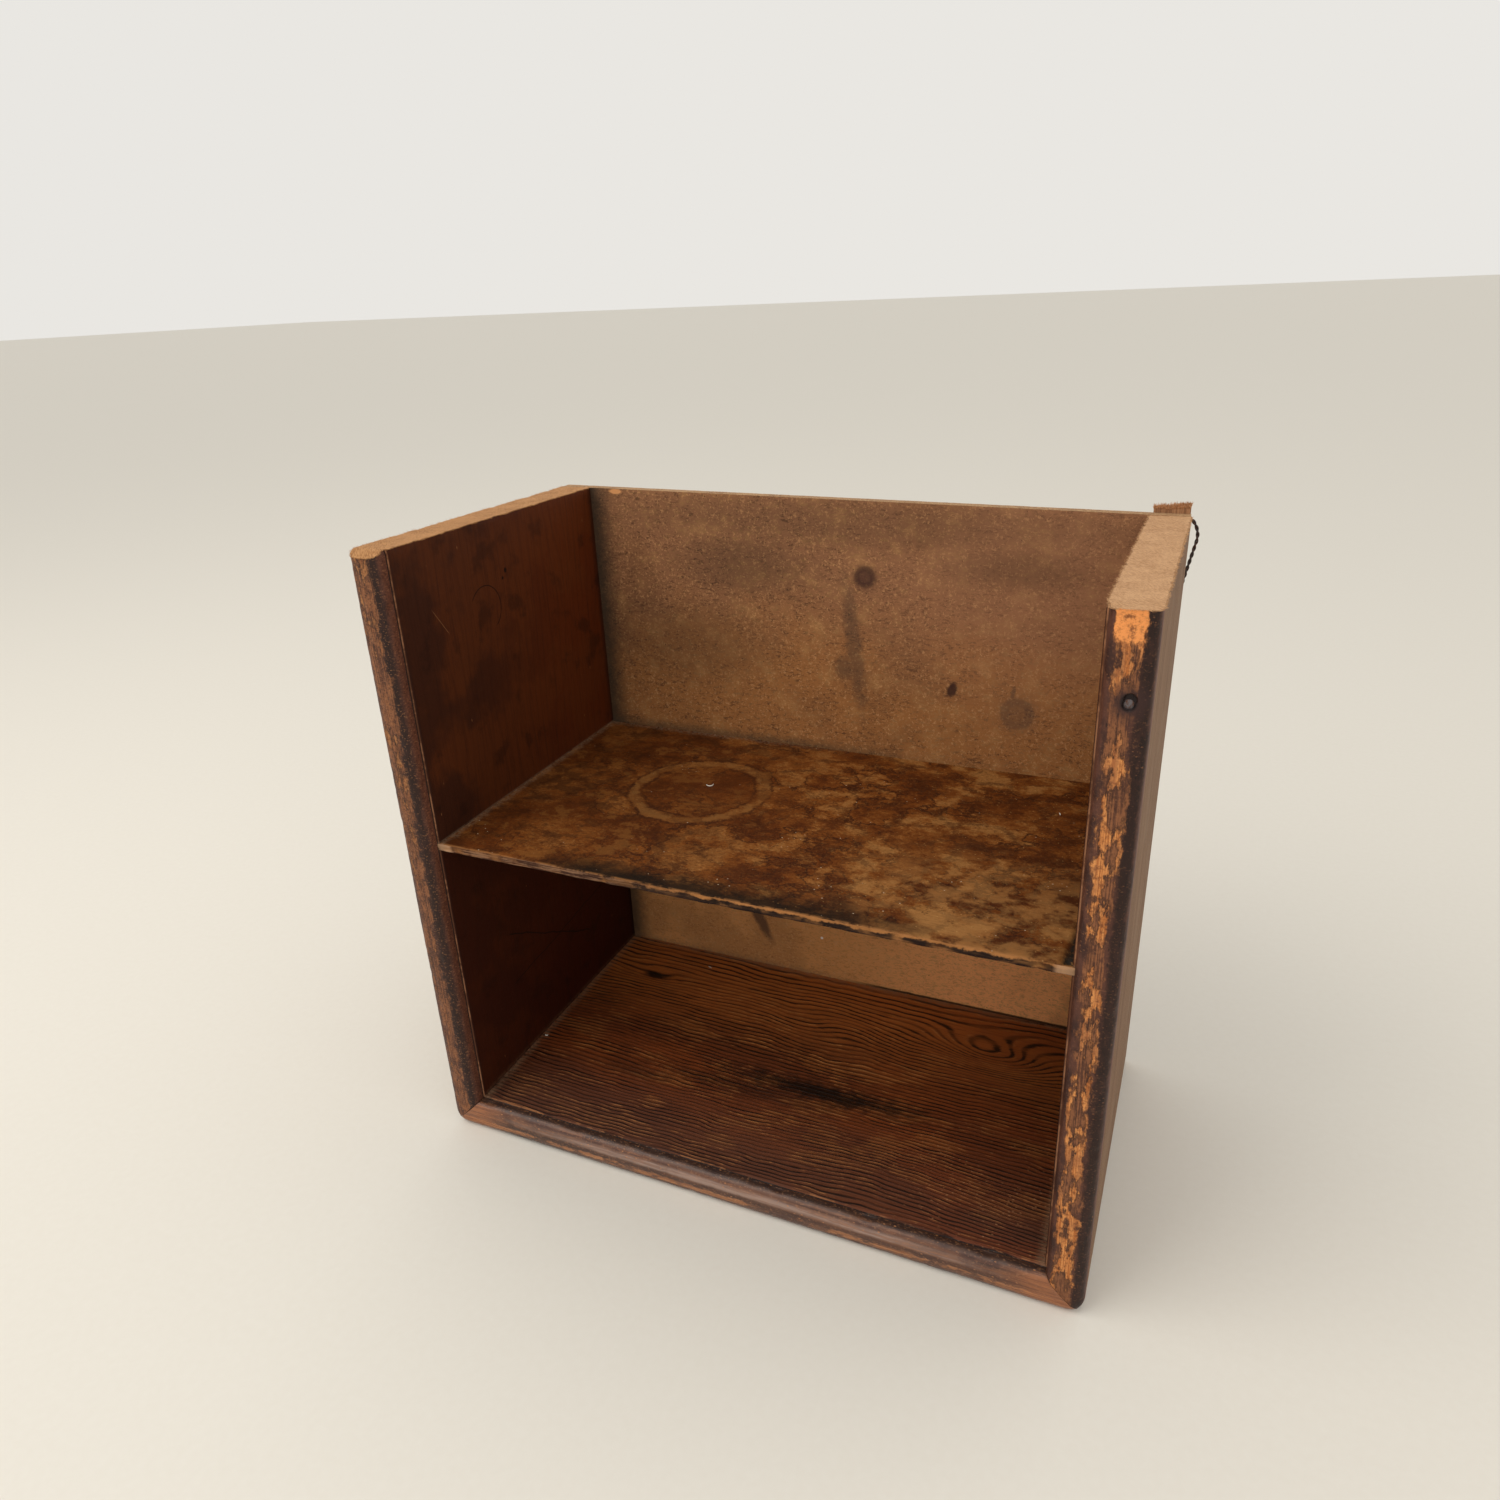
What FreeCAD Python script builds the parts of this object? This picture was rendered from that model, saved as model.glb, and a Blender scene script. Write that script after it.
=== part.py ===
import FreeCAD, Part
import math
import os

os.makedirs("parts", exist_ok=True)

# A small old wooden wall shelf, open at the top and at the front.
# Two side boards and a bottom board with a rounded, grooved front nose are
# mitred into a U. A thin middle shelf sits in grooves in the sides, a fibre
# board back is nailed on behind, and two short battens carry the wire loops
# that hang it on a wall. The whole case was sawn off rough across its top.
#
# Frame: X to the right, Y towards the wall, Z up, in millimetres.
# Origin: middle of the underside of the bottom board.

# ---- the case ----
OVERALL_WIDTH = 350.0
BOARD_DEPTH = 181.4
BOARD_THICKNESS = 19.0
CORNER_RADIUS = 8.0
LEFT_FRONT_HEIGHT = 333.1
LEFT_REAR_HEIGHT = 330.7
RIGHT_FRONT_HEIGHT = 331.2
RIGHT_REAR_HEIGHT = 326.4
LEFT_CHIP_LENGTH = 5.5
LEFT_CHIP_DROP = 3.2

# ---- the rounded nose along the front edges ----
NOSE_DEPTH = 6.9
NOSE_OUTER_DEPTH = 6.0
NOSE_FULLNESS = 3.0
CREST_INSET = 9.0
GROOVE_INSET = 1.0
ARRIS_INSET = 0.5
NOSE_STEPS = 6

# ---- middle shelf and back panel ----
SHELF_TOP_HEIGHT = 182.0
SHELF_THICKNESS = 4.3
DADO_DEPTH = 4.0
DADO_END_CLEARANCE = 0.2
DADO_TOP_CLEARANCE = 0.2
PANEL_THICKNESS = 6.4
PANEL_SIDE_INSET = 0.4
PANEL_FOOT_HEIGHT = 0.8
REAR_JOINT_GAP = 0.3

# ---- hanging battens behind the sides ----
BATTEN_WIDTH = 16.8
BATTEN_THICKNESS = 6.0
BATTEN_SIDE_INSET = 0.9
BATTEN_FOOT_HEIGHT = 248.0
LEFT_BATTEN_TOP = 325.0
RIGHT_BATTEN_TOP = 330.7
TORN_DEPTH = 1.6
TORN_STEPS = 7

# ---- wire hanging loops ----
LOOP_WIRE_RADIUS = 0.9
LOOP_EYE_RADIUS = 11.8
LOOP_EYE_HEIGHT = 314.0
LOOP_NAIL_HEIGHT = 265.0
LOOP_SIDE_INSET = 8.5
LOOP_STANDOFF = 0.1
STAPLE_HEIGHT = 274.0
STAPLE_WIRE_RADIUS = 0.8
STAPLE_BEND_RADIUS = 1.8
STAPLE_HALF_SPAN = 6.0
STAPLE_LEG_LENGTH = 10.0

# ---- nails ----
NAIL_CLEARANCE = 0.05
TIP_LENGTH_RATIO = 1.5
LOOP_NAIL_RADIUS = 1.3
LOOP_NAIL_LENGTH = 24.0
LOOP_NAIL_HEAD_RADIUS = 3.0
LOOP_NAIL_HEAD_THICKNESS = 1.0
BATTEN_NAIL_RADIUS = 1.1
BATTEN_NAIL_LENGTH = 26.0
BATTEN_NAIL_HEAD_RADIUS = 2.2
BATTEN_NAIL_HEAD_THICKNESS = 0.8
BATTEN_LOWER_NAIL_HEIGHT = 256.0
BATTEN_LOWER_NAIL_OFFSET = 4.4
BATTEN_UPPER_NAIL_HEIGHT = 292.0
CORNER_NAIL_RADIUS = 1.1
CORNER_NAIL_LENGTH = 34.0
CORNER_NAIL_HEAD_RADIUS = 1.7
CORNER_NAIL_HEAD_THICKNESS = 1.2
CORNER_NAIL_SINK = 0.4
CORNER_NAIL_COUNT = 3
BRAD_RADIUS = 0.7
BRAD_LENGTH = 19.0
BRAD_HEAD_RADIUS = 1.5
BRAD_HEAD_THICKNESS = 0.6
SIDE_BRAD_COUNT = 4
BOTTOM_BRAD_COUNT = 5
SHELF_BRAD_COUNT = 3
FRONT_NAIL_HEIGHT = 296.9
FRONT_NAIL_SIDE_INSET = 8.0
FRONT_NAIL_RADIUS = 1.1
FRONT_NAIL_LENGTH = 36.0
FRONT_NAIL_HEAD_RADIUS = 1.9
FRONT_NAIL_HEAD_THICKNESS = 1.0
FRONT_NAIL_SINK = 1.0
PUNCH_MARK_RADIUS = 2.6
PUNCH_MARK_RISE = 2.2
PUNCH_MARK_OFFSET = 0.5
PUNCH_MARK_DEPTH = 1.3

HALF_WIDTH = OVERALL_WIDTH / 2
FRONT_Y = -BOARD_DEPTH / 2
REAR_Y = BOARD_DEPTH / 2
PANEL_REAR_Y = REAR_Y + PANEL_THICKNESS
BATTEN_REAR_Y = PANEL_REAR_Y + BATTEN_THICKNESS
SHELF_FRONT_Y = FRONT_Y + NOSE_DEPTH - ARRIS_INSET
INNER_X = HALF_WIDTH - BOARD_THICKNESS
BOARD_MIDDLE_X = HALF_WIDTH - BOARD_THICKNESS / 2
LOOP_X = HALF_WIDTH - LOOP_SIDE_INSET
TALLEST = LEFT_FRONT_HEIGHT
OVERSIZE = 20.0
SPAN = 2 * BOARD_DEPTH

vector = FreeCAD.Vector


def block(low, high):
    """A box between two opposite corners."""
    size = high - low
    return Part.makeBox(size.x, size.y, size.z, low)


def mirrored(shape):
    """The same shape on the other side of the case."""
    return shape.mirror(vector(0, 0, 0), vector(1, 0, 0))


def nose_outline(place):
    """Points from the nose's inner groove, over its crest, to the outer face."""
    power = 2 / NOSE_FULLNESS
    points = []
    for step in range(NOSE_STEPS + 1):
        angle = math.pi / 2 * step / NOSE_STEPS
        inset = CREST_INSET - (CREST_INSET - GROOVE_INSET) * math.cos(angle) ** power
        back = NOSE_DEPTH * (1 - math.sin(angle) ** power)
        points.append(place(inset, back))
    for step in range(1, NOSE_STEPS + 1):
        angle = math.pi / 2 * step / NOSE_STEPS
        inset = CREST_INSET + (BOARD_THICKNESS - CREST_INSET) * math.sin(angle) ** power
        back = NOSE_OUTER_DEPTH * (1 - math.cos(angle) ** power)
        points.append(place(inset, back))
    return points


def board_profile(place, board_depth):
    """Cross section of a case board. place takes the inset from the inner
    face and the distance behind the nose's crest."""
    points = nose_outline(place)
    rearwards = place(0, 1) - place(0, 0)
    nose = Part.BSplineCurve()
    nose.interpolate(Points=points, InitialTangent=-rearwards, FinalTangent=rearwards)
    corners = [
        points[-1],
        place(BOARD_THICKNESS, board_depth),
        place(0, board_depth),
        place(0, NOSE_DEPTH + ARRIS_INSET),
        place(ARRIS_INSET, NOSE_DEPTH - ARRIS_INSET / 2),
        points[0],
    ]
    edges = [nose.toShape()]
    for start, end in zip(corners, corners[1:]):
        edges.append(Part.makeLine(start, end))
    return Part.Face(Part.Wire(Part.__sortEdges__(edges)))


def prism_over_depth(points):
    """A prism whose X and Z outline runs through the whole depth."""
    ring = [vector(x, -SPAN, z) for x, z in points]
    outline = Part.makePolygon(ring + ring[:1])
    return Part.Face(outline).extrude(vector(0, 2 * SPAN, 0))


def left_corner_wedge(profile, outer_part, turn_axis):
    """The rounded outer corner: half of a quarter turn of the board's edge."""
    edge = profile.common(outer_part)
    centre = vector(-HALF_WIDTH + CORNER_RADIUS, 0, CORNER_RADIUS)
    wedge = edge.Faces[0].revolve(centre, turn_axis, 45)
    return wedge


def left_side_blank():
    """The left side board before its grooves, saw cut and holes."""
    profile = board_profile(
        lambda inset, back: vector(-INNER_X - inset, FRONT_Y + back, CORNER_RADIUS), BOARD_DEPTH)
    board = profile.extrude(vector(0, 0, TALLEST + OVERSIZE))
    reach = BOARD_THICKNESS + OVERSIZE
    below_mitre = prism_over_depth([
        (-HALF_WIDTH, 0), (-HALF_WIDTH + reach, 0), (-HALF_WIDTH + reach, reach)])
    outer_part = block(
        vector(-HALF_WIDTH - 1, -SPAN, 0), vector(-HALF_WIDTH + CORNER_RADIUS, SPAN, TALLEST))
    wedge = left_corner_wedge(profile, outer_part, vector(0, -1, 0))
    return board.cut(below_mitre).fuse(wedge).removeSplitter()


def bottom_blank():
    """The bottom board, mitred at both ends."""
    start_x = -HALF_WIDTH + CORNER_RADIUS
    profile = board_profile(
        lambda inset, back: vector(start_x, FRONT_Y + back, BOARD_THICKNESS - inset),
        BOARD_DEPTH - REAR_JOINT_GAP)
    board = profile.extrude(vector(-2 * start_x, 0, 0))
    reach = BOARD_THICKNESS + OVERSIZE
    above_mitre = prism_over_depth([
        (-HALF_WIDTH, 0), (-HALF_WIDTH, reach), (-HALF_WIDTH + reach, reach)])
    outer_part = block(vector(-HALF_WIDTH, -SPAN, -1), vector(HALF_WIDTH, SPAN, CORNER_RADIUS))
    wedge = left_corner_wedge(profile, outer_part, vector(0, 1, 0))
    board = board.cut(above_mitre).cut(mirrored(above_mitre))
    return board.fuse(wedge).fuse(mirrored(wedge)).removeSplitter()


def above_saw_cut(front_height, rear_height):
    """Everything above the slanting saw cut across a side's top."""
    overrun = (front_height - rear_height) * OVERSIZE / BOARD_DEPTH
    ring = [
        vector(-HALF_WIDTH - 1, FRONT_Y - OVERSIZE, front_height + overrun),
        vector(-HALF_WIDTH - 1, REAR_Y + OVERSIZE, rear_height - overrun),
        vector(-HALF_WIDTH - 1, REAR_Y + OVERSIZE, TALLEST + 2 * OVERSIZE),
        vector(-HALF_WIDTH - 1, FRONT_Y - OVERSIZE, TALLEST + 2 * OVERSIZE),
    ]
    return Part.Face(Part.makePolygon(ring + ring[:1])).extrude(vector(OVERALL_WIDTH + 2, 0, 0))


def front_chip():
    """The splintered front corner at the top of the left side."""
    ring = [
        vector(-HALF_WIDTH - 1, FRONT_Y + LEFT_CHIP_LENGTH, TALLEST + 1),
        vector(-HALF_WIDTH - 1, FRONT_Y + LEFT_CHIP_LENGTH, TALLEST),
        vector(-HALF_WIDTH - 1, FRONT_Y, TALLEST - LEFT_CHIP_DROP),
        vector(-HALF_WIDTH - 1, FRONT_Y - 1, TALLEST - LEFT_CHIP_DROP),
        vector(-HALF_WIDTH - 1, FRONT_Y - 1, TALLEST + 1),
    ]
    return Part.Face(Part.makePolygon(ring + ring[:1])).extrude(vector(BOARD_THICKNESS + 2, 0, 0))


def left_dado():
    """The groove in the left side that takes the shelf's end."""
    return block(
        vector(-INNER_X - DADO_DEPTH, SHELF_FRONT_Y, SHELF_TOP_HEIGHT - SHELF_THICKNESS),
        vector(-INNER_X + 1, REAR_Y, SHELF_TOP_HEIGHT + DADO_TOP_CLEARANCE))


def middle_shelf_blank():
    """The thin shelf, its ends standing in the two grooves."""
    end_x = INNER_X + DADO_DEPTH - DADO_END_CLEARANCE
    return block(
        vector(-end_x, SHELF_FRONT_Y, SHELF_TOP_HEIGHT - SHELF_THICKNESS),
        vector(end_x, REAR_Y - REAR_JOINT_GAP, SHELF_TOP_HEIGHT))


def back_panel_blank():
    """The back, sawn off along the same slant as the sides."""
    edge_x = HALF_WIDTH - PANEL_SIDE_INSET
    ring = [
        vector(-edge_x, REAR_Y, PANEL_FOOT_HEIGHT),
        vector(edge_x, REAR_Y, PANEL_FOOT_HEIGHT),
        vector(edge_x, REAR_Y, RIGHT_REAR_HEIGHT),
        vector(-edge_x, REAR_Y, LEFT_REAR_HEIGHT),
    ]
    return Part.Face(Part.makePolygon(ring + ring[:1])).extrude(vector(0, PANEL_THICKNESS, 0))


def batten_blank(outer_x, direction, top_height, torn_depth):
    """A batten behind one side. direction points to the middle of the case."""
    inner_x = outer_x + direction * BATTEN_WIDTH
    ring = [
        vector(inner_x, PANEL_REAR_Y, BATTEN_FOOT_HEIGHT),
        vector(outer_x, PANEL_REAR_Y, BATTEN_FOOT_HEIGHT),
    ]
    for step in range(TORN_STEPS + 1):
        share = step / TORN_STEPS
        fall = torn_depth * abs(math.sin(5.0 * share) * math.cos(2.0 * share))
        ring.append(vector(outer_x + (inner_x - outer_x) * share, PANEL_REAR_Y, top_height - fall))
    return Part.Face(Part.makePolygon(ring + ring[:1])).extrude(vector(0, BATTEN_THICKNESS, 0))


def nail(head_face, direction, length, radius, head_radius, head_thickness):
    """A round nail. head_face is the middle of the head's outer face."""
    tip_length = TIP_LENGTH_RATIO * 2 * radius
    shank_start = head_face + direction * head_thickness
    tip_start = head_face + direction * (length - tip_length)
    head = Part.makeCylinder(head_radius, head_thickness, head_face, direction)
    shank = Part.makeCylinder(radius, length - tip_length - head_thickness, shank_start, direction)
    tip = Part.makeCone(radius, radius / 5, tip_length, tip_start, direction)
    return head.fuse(shank).fuse(tip).removeSplitter()


def nail_hole(head_face, direction, length, radius, head_radius, seat_depth):
    """The hole a nail sits in, with the seat of its head if that is sunk."""
    hole = Part.makeCylinder(
        radius + NAIL_CLEARANCE, length + NAIL_CLEARANCE, head_face, direction)
    if seat_depth > 0:
        start = head_face - direction
        seat = Part.makeCylinder(
            head_radius + NAIL_CLEARANCE, 1 + seat_depth + NAIL_CLEARANCE, start, direction)
        hole = hole.fuse(seat)
    return hole


def corner_nail_places():
    """Heads of the nails driven up through the bottom into each side."""
    places = []
    for side in (-1, 1):
        for index in range(CORNER_NAIL_COUNT):
            share = (index + 0.5) / CORNER_NAIL_COUNT
            places.append(vector(side * BOARD_MIDDLE_X, FRONT_Y + BOARD_DEPTH * share, CORNER_NAIL_SINK))
    return places


def batten_nail_places():
    """Heads of the nails through both battens, two to a batten."""
    places = []
    head_y = BATTEN_REAR_Y + BATTEN_NAIL_HEAD_THICKNESS
    lower_x = BOARD_MIDDLE_X - BATTEN_LOWER_NAIL_OFFSET
    for side in (-1, 1):
        places.append(vector(side * lower_x, head_y, BATTEN_LOWER_NAIL_HEIGHT))
        places.append(vector(side * BOARD_MIDDLE_X, head_y, BATTEN_UPPER_NAIL_HEIGHT))
    return places


def brad_places():
    """Heads of the brads that hold the back panel on."""
    places = []
    head_y = PANEL_REAR_Y
    lowest = 2 * BOARD_THICKNESS
    highest = BATTEN_FOOT_HEIGHT - BOARD_THICKNESS
    for side in (-1, 1):
        for index in range(SIDE_BRAD_COUNT):
            height = lowest + (highest - lowest) * index / (SIDE_BRAD_COUNT - 1)
            places.append(vector(side * BOARD_MIDDLE_X, head_y, height))
    for index in range(BOTTOM_BRAD_COUNT):
        share = (index + 0.5) / BOTTOM_BRAD_COUNT - 0.5
        places.append(vector(2 * INNER_X * share, head_y, BOARD_THICKNESS / 2))
    for index in range(SHELF_BRAD_COUNT):
        share = (index + 0.5) / SHELF_BRAD_COUNT - 0.5
        places.append(vector(2 * INNER_X * share, head_y, SHELF_TOP_HEIGHT - SHELF_THICKNESS / 2))
    return places


def disc(point, direction, radius):
    """A round face, the start of a length of wire."""
    return Part.Face(Part.Wire(Part.makeCircle(radius, point, direction)))


def hanging_loop(loop_x):
    """A closed teardrop of wire: a wide eye above, a narrow turn round its nail."""
    wire_y = BATTEN_REAR_Y + LOOP_STANDOFF + LOOP_WIRE_RADIUS
    eye = vector(loop_x, wire_y, LOOP_EYE_HEIGHT)
    foot = vector(loop_x, wire_y, LOOP_NAIL_HEIGHT)
    foot_radius = LOOP_NAIL_RADIUS + NAIL_CLEARANCE + LOOP_WIRE_RADIUS
    lean = math.asin((LOOP_EYE_RADIUS - foot_radius) / (LOOP_EYE_HEIGHT - LOOP_NAIL_HEIGHT))
    right_out = vector(math.cos(lean), 0, -math.sin(lean))
    left_out = vector(-math.cos(lean), 0, -math.sin(lean))
    rising = vector(math.sin(lean), 0, math.cos(lean))
    falling = vector(math.sin(lean), 0, -math.cos(lean))
    turn_axis = vector(0, -1, 0)
    eye_right = eye + right_out * LOOP_EYE_RADIUS
    eye_left = eye + left_out * LOOP_EYE_RADIUS
    foot_right = foot + right_out * foot_radius
    foot_left = foot + left_out * foot_radius
    half_turn = math.degrees(lean)
    over_eye = disc(eye_right, rising, LOOP_WIRE_RADIUS).revolve(eye, turn_axis, 180 + 2 * half_turn)
    left_run = disc(eye_left, falling, LOOP_WIRE_RADIUS).extrude(foot_left - eye_left)
    round_nail = disc(foot_left, falling, LOOP_WIRE_RADIUS).revolve(foot, turn_axis, 180 - 2 * half_turn)
    right_run = disc(foot_right, rising, LOOP_WIRE_RADIUS).extrude(eye_right - foot_right)
    return over_eye.fuse(left_run).fuse(round_nail).fuse(right_run).removeSplitter()


def staple_crown_y():
    """Middle of the wire in the part of the staple that crosses the loop."""
    return BATTEN_REAR_Y + 2 * LOOP_STANDOFF + 2 * LOOP_WIRE_RADIUS + STAPLE_WIRE_RADIUS


def loop_staple(loop_x):
    """A bent wire staple over both strands of a loop."""
    crown_y = staple_crown_y()
    bend_y = crown_y - STAPLE_BEND_RADIUS
    tip_y = crown_y - STAPLE_LEG_LENGTH
    left_x = loop_x - STAPLE_HALF_SPAN
    right_x = loop_x + STAPLE_HALF_SPAN
    left_leg = disc(vector(left_x, tip_y, STAPLE_HEIGHT), vector(0, 1, 0), STAPLE_WIRE_RADIUS)
    left_leg = left_leg.extrude(vector(0, bend_y - tip_y, 0))
    left_bend = disc(vector(left_x, bend_y, STAPLE_HEIGHT), vector(0, 1, 0), STAPLE_WIRE_RADIUS)
    left_bend = left_bend.revolve(
        vector(left_x + STAPLE_BEND_RADIUS, bend_y, STAPLE_HEIGHT), vector(0, 0, -1), 90)
    crown = disc(vector(left_x + STAPLE_BEND_RADIUS, crown_y, STAPLE_HEIGHT), vector(1, 0, 0),
                 STAPLE_WIRE_RADIUS)
    crown = crown.extrude(vector(2 * (STAPLE_HALF_SPAN - STAPLE_BEND_RADIUS), 0, 0))
    right_bend = disc(vector(right_x, bend_y, STAPLE_HEIGHT), vector(0, 1, 0), STAPLE_WIRE_RADIUS)
    right_bend = right_bend.revolve(
        vector(right_x - STAPLE_BEND_RADIUS, bend_y, STAPLE_HEIGHT), vector(0, 0, 1), 90)
    right_leg = disc(vector(right_x, tip_y, STAPLE_HEIGHT), vector(0, 1, 0), STAPLE_WIRE_RADIUS)
    right_leg = right_leg.extrude(vector(0, bend_y - tip_y, 0))
    staple = left_leg.fuse(left_bend).fuse(crown).fuse(right_bend).fuse(right_leg)
    return staple.removeSplitter()


def staple_holes(loop_x):
    """Holes for both legs of a staple, from the batten's rear face forwards."""
    depth = STAPLE_LEG_LENGTH - (staple_crown_y() - BATTEN_REAR_Y) + NAIL_CLEARANCE
    holes = []
    for side in (-1, 1):
        start = vector(loop_x + side * STAPLE_HALF_SPAN, BATTEN_REAR_Y, STAPLE_HEIGHT)
        holes.append(Part.makeCylinder(
            STAPLE_WIRE_RADIUS + NAIL_CLEARANCE, depth, start, vector(0, -1, 0)))
    return holes


def cut_all(shape, tools):
    """The shape with every tool taken out of it."""
    for tool in tools:
        shape = shape.cut(tool)
    return shape


def save(node, solids):
    """Write one node: a solid, or a group of separate solids."""
    shape = solids[0] if len(solids) == 1 else Part.makeCompound(solids)
    for solid in shape.Solids:
        assert solid.isValid(), node
    shape.exportStep("parts/" + node + ".step")


UP = vector(0, 0, 1)
FORWARD = vector(0, -1, 0)
REARWARD = vector(0, 1, 0)

# Nails, and the holes each of them needs in the wood.
corner_nails = []
corner_holes = []
for place in corner_nail_places():
    corner_nails.append(nail(place, UP, CORNER_NAIL_LENGTH, CORNER_NAIL_RADIUS,
                             CORNER_NAIL_HEAD_RADIUS, CORNER_NAIL_HEAD_THICKNESS))
    corner_holes.append(nail_hole(place, UP, CORNER_NAIL_LENGTH, CORNER_NAIL_RADIUS,
                                  CORNER_NAIL_HEAD_RADIUS, CORNER_NAIL_HEAD_THICKNESS))

batten_nails = []
batten_holes = []
for place in batten_nail_places():
    batten_nails.append(nail(place, FORWARD, BATTEN_NAIL_LENGTH, BATTEN_NAIL_RADIUS,
                             BATTEN_NAIL_HEAD_RADIUS, BATTEN_NAIL_HEAD_THICKNESS))
    batten_holes.append(nail_hole(place, FORWARD, BATTEN_NAIL_LENGTH, BATTEN_NAIL_RADIUS,
                                  BATTEN_NAIL_HEAD_RADIUS, 0))

brads = []
brad_holes = []
for place in brad_places():
    brads.append(nail(place, FORWARD, BRAD_LENGTH, BRAD_RADIUS,
                      BRAD_HEAD_RADIUS, BRAD_HEAD_THICKNESS))
    brad_holes.append(nail_hole(place, FORWARD, BRAD_LENGTH, BRAD_RADIUS,
                                BRAD_HEAD_RADIUS, BRAD_HEAD_THICKNESS))

loop_nails = []
loop_holes = []
loop_head_y = (BATTEN_REAR_Y + 2 * LOOP_STANDOFF + 2 * LOOP_WIRE_RADIUS
               + LOOP_NAIL_HEAD_THICKNESS)
for loop_x in (-LOOP_X, LOOP_X):
    place = vector(loop_x, loop_head_y, LOOP_NAIL_HEIGHT)
    loop_nails.append(nail(place, FORWARD, LOOP_NAIL_LENGTH, LOOP_NAIL_RADIUS,
                           LOOP_NAIL_HEAD_RADIUS, LOOP_NAIL_HEAD_THICKNESS))
    loop_holes.append(nail_hole(place, FORWARD, LOOP_NAIL_LENGTH, LOOP_NAIL_RADIUS,
                                LOOP_NAIL_HEAD_RADIUS, 0))
    loop_holes += staple_holes(loop_x)

front_place = vector(HALF_WIDTH - FRONT_NAIL_SIDE_INSET, FRONT_Y + FRONT_NAIL_SINK, FRONT_NAIL_HEIGHT)
front_nail = nail(front_place, REARWARD, FRONT_NAIL_LENGTH, FRONT_NAIL_RADIUS,
                  FRONT_NAIL_HEAD_RADIUS, FRONT_NAIL_HEAD_THICKNESS)
front_hole = nail_hole(front_place, REARWARD, FRONT_NAIL_LENGTH, FRONT_NAIL_RADIUS,
                       FRONT_NAIL_HEAD_RADIUS, FRONT_NAIL_HEAD_THICKNESS)
punch_mark = Part.makeCylinder(
    PUNCH_MARK_RADIUS, PUNCH_MARK_DEPTH + 1,
    vector(front_place.x + PUNCH_MARK_OFFSET, FRONT_Y - 1, FRONT_NAIL_HEIGHT + PUNCH_MARK_RISE), REARWARD)

# The boards.
rear_holes = batten_holes + brad_holes + loop_holes
left_blank = left_side_blank()
left_side = left_blank.cut(above_saw_cut(LEFT_FRONT_HEIGHT, LEFT_REAR_HEIGHT)).cut(front_chip())
left_side = cut_all(left_side.cut(left_dado()), corner_holes + rear_holes)
right_side = mirrored(left_blank).cut(above_saw_cut(RIGHT_FRONT_HEIGHT, RIGHT_REAR_HEIGHT))
right_side = cut_all(right_side.cut(mirrored(left_dado())), corner_holes + rear_holes)
right_side = right_side.cut(front_hole).cut(punch_mark)
bottom_board = cut_all(bottom_blank(), corner_holes + brad_holes)
middle_shelf = cut_all(middle_shelf_blank(), brad_holes)
back_panel = cut_all(back_panel_blank(), rear_holes)
batten_outer_x = HALF_WIDTH - BATTEN_SIDE_INSET
left_batten = cut_all(
    batten_blank(-batten_outer_x, 1, LEFT_BATTEN_TOP, 0), batten_holes + loop_holes)
right_batten = cut_all(
    batten_blank(batten_outer_x, -1, RIGHT_BATTEN_TOP, TORN_DEPTH), batten_holes + loop_holes)

save("left_side", left_side.Solids)
save("right_side", right_side.Solids)
save("bottom_board", bottom_board.Solids)
save("middle_shelf", middle_shelf.Solids)
save("back_panel", back_panel.Solids)
save("left_batten", left_batten.Solids)
save("right_batten", right_batten.Solids)
save("left_hanging_loop", hanging_loop(-LOOP_X).Solids)
save("right_hanging_loop", hanging_loop(LOOP_X).Solids)
save("loop_nails", loop_nails)
save("loop_staples", [loop_staple(-LOOP_X), loop_staple(LOOP_X)])
save("batten_nails", batten_nails)
save("corner_nails", corner_nails)
save("back_panel_brads", brads)
save("front_nail", front_nail.Solids)
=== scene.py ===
import math

import bmesh
import bpy
import numpy as np
from mathutils import Matrix, Vector


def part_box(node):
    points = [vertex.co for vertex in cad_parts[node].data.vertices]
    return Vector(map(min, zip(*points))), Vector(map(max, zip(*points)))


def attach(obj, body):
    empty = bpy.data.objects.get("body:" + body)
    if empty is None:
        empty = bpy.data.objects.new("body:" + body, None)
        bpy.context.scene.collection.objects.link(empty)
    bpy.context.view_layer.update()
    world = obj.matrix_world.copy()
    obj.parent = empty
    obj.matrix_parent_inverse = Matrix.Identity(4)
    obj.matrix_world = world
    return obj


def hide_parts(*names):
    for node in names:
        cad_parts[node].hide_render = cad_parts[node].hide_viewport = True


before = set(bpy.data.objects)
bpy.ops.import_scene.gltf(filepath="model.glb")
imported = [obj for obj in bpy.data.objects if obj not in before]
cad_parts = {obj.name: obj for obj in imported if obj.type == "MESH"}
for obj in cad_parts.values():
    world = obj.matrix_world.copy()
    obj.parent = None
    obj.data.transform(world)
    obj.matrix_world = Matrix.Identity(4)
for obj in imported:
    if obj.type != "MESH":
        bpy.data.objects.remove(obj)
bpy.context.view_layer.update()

# A small old wooden wall shelf: two side boards and a bottom board with a
# rounded nose, a thin middle shelf, a fibre board back and wire hanging loops.
# Pieces are laid out in millimetres and written to their meshes in metres.

MM = 0.001


# ---- sizes read from the frame, in millimetres ----

def corners_mm(node):
    """Lowest and highest corner of a CAD node."""
    low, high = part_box(node)
    return np.array(low) / MM, np.array(high) / MM


def points_mm(node):
    """All corner points of a CAD node."""
    return np.array([v.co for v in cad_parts[node].data.vertices], float) / MM


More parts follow.
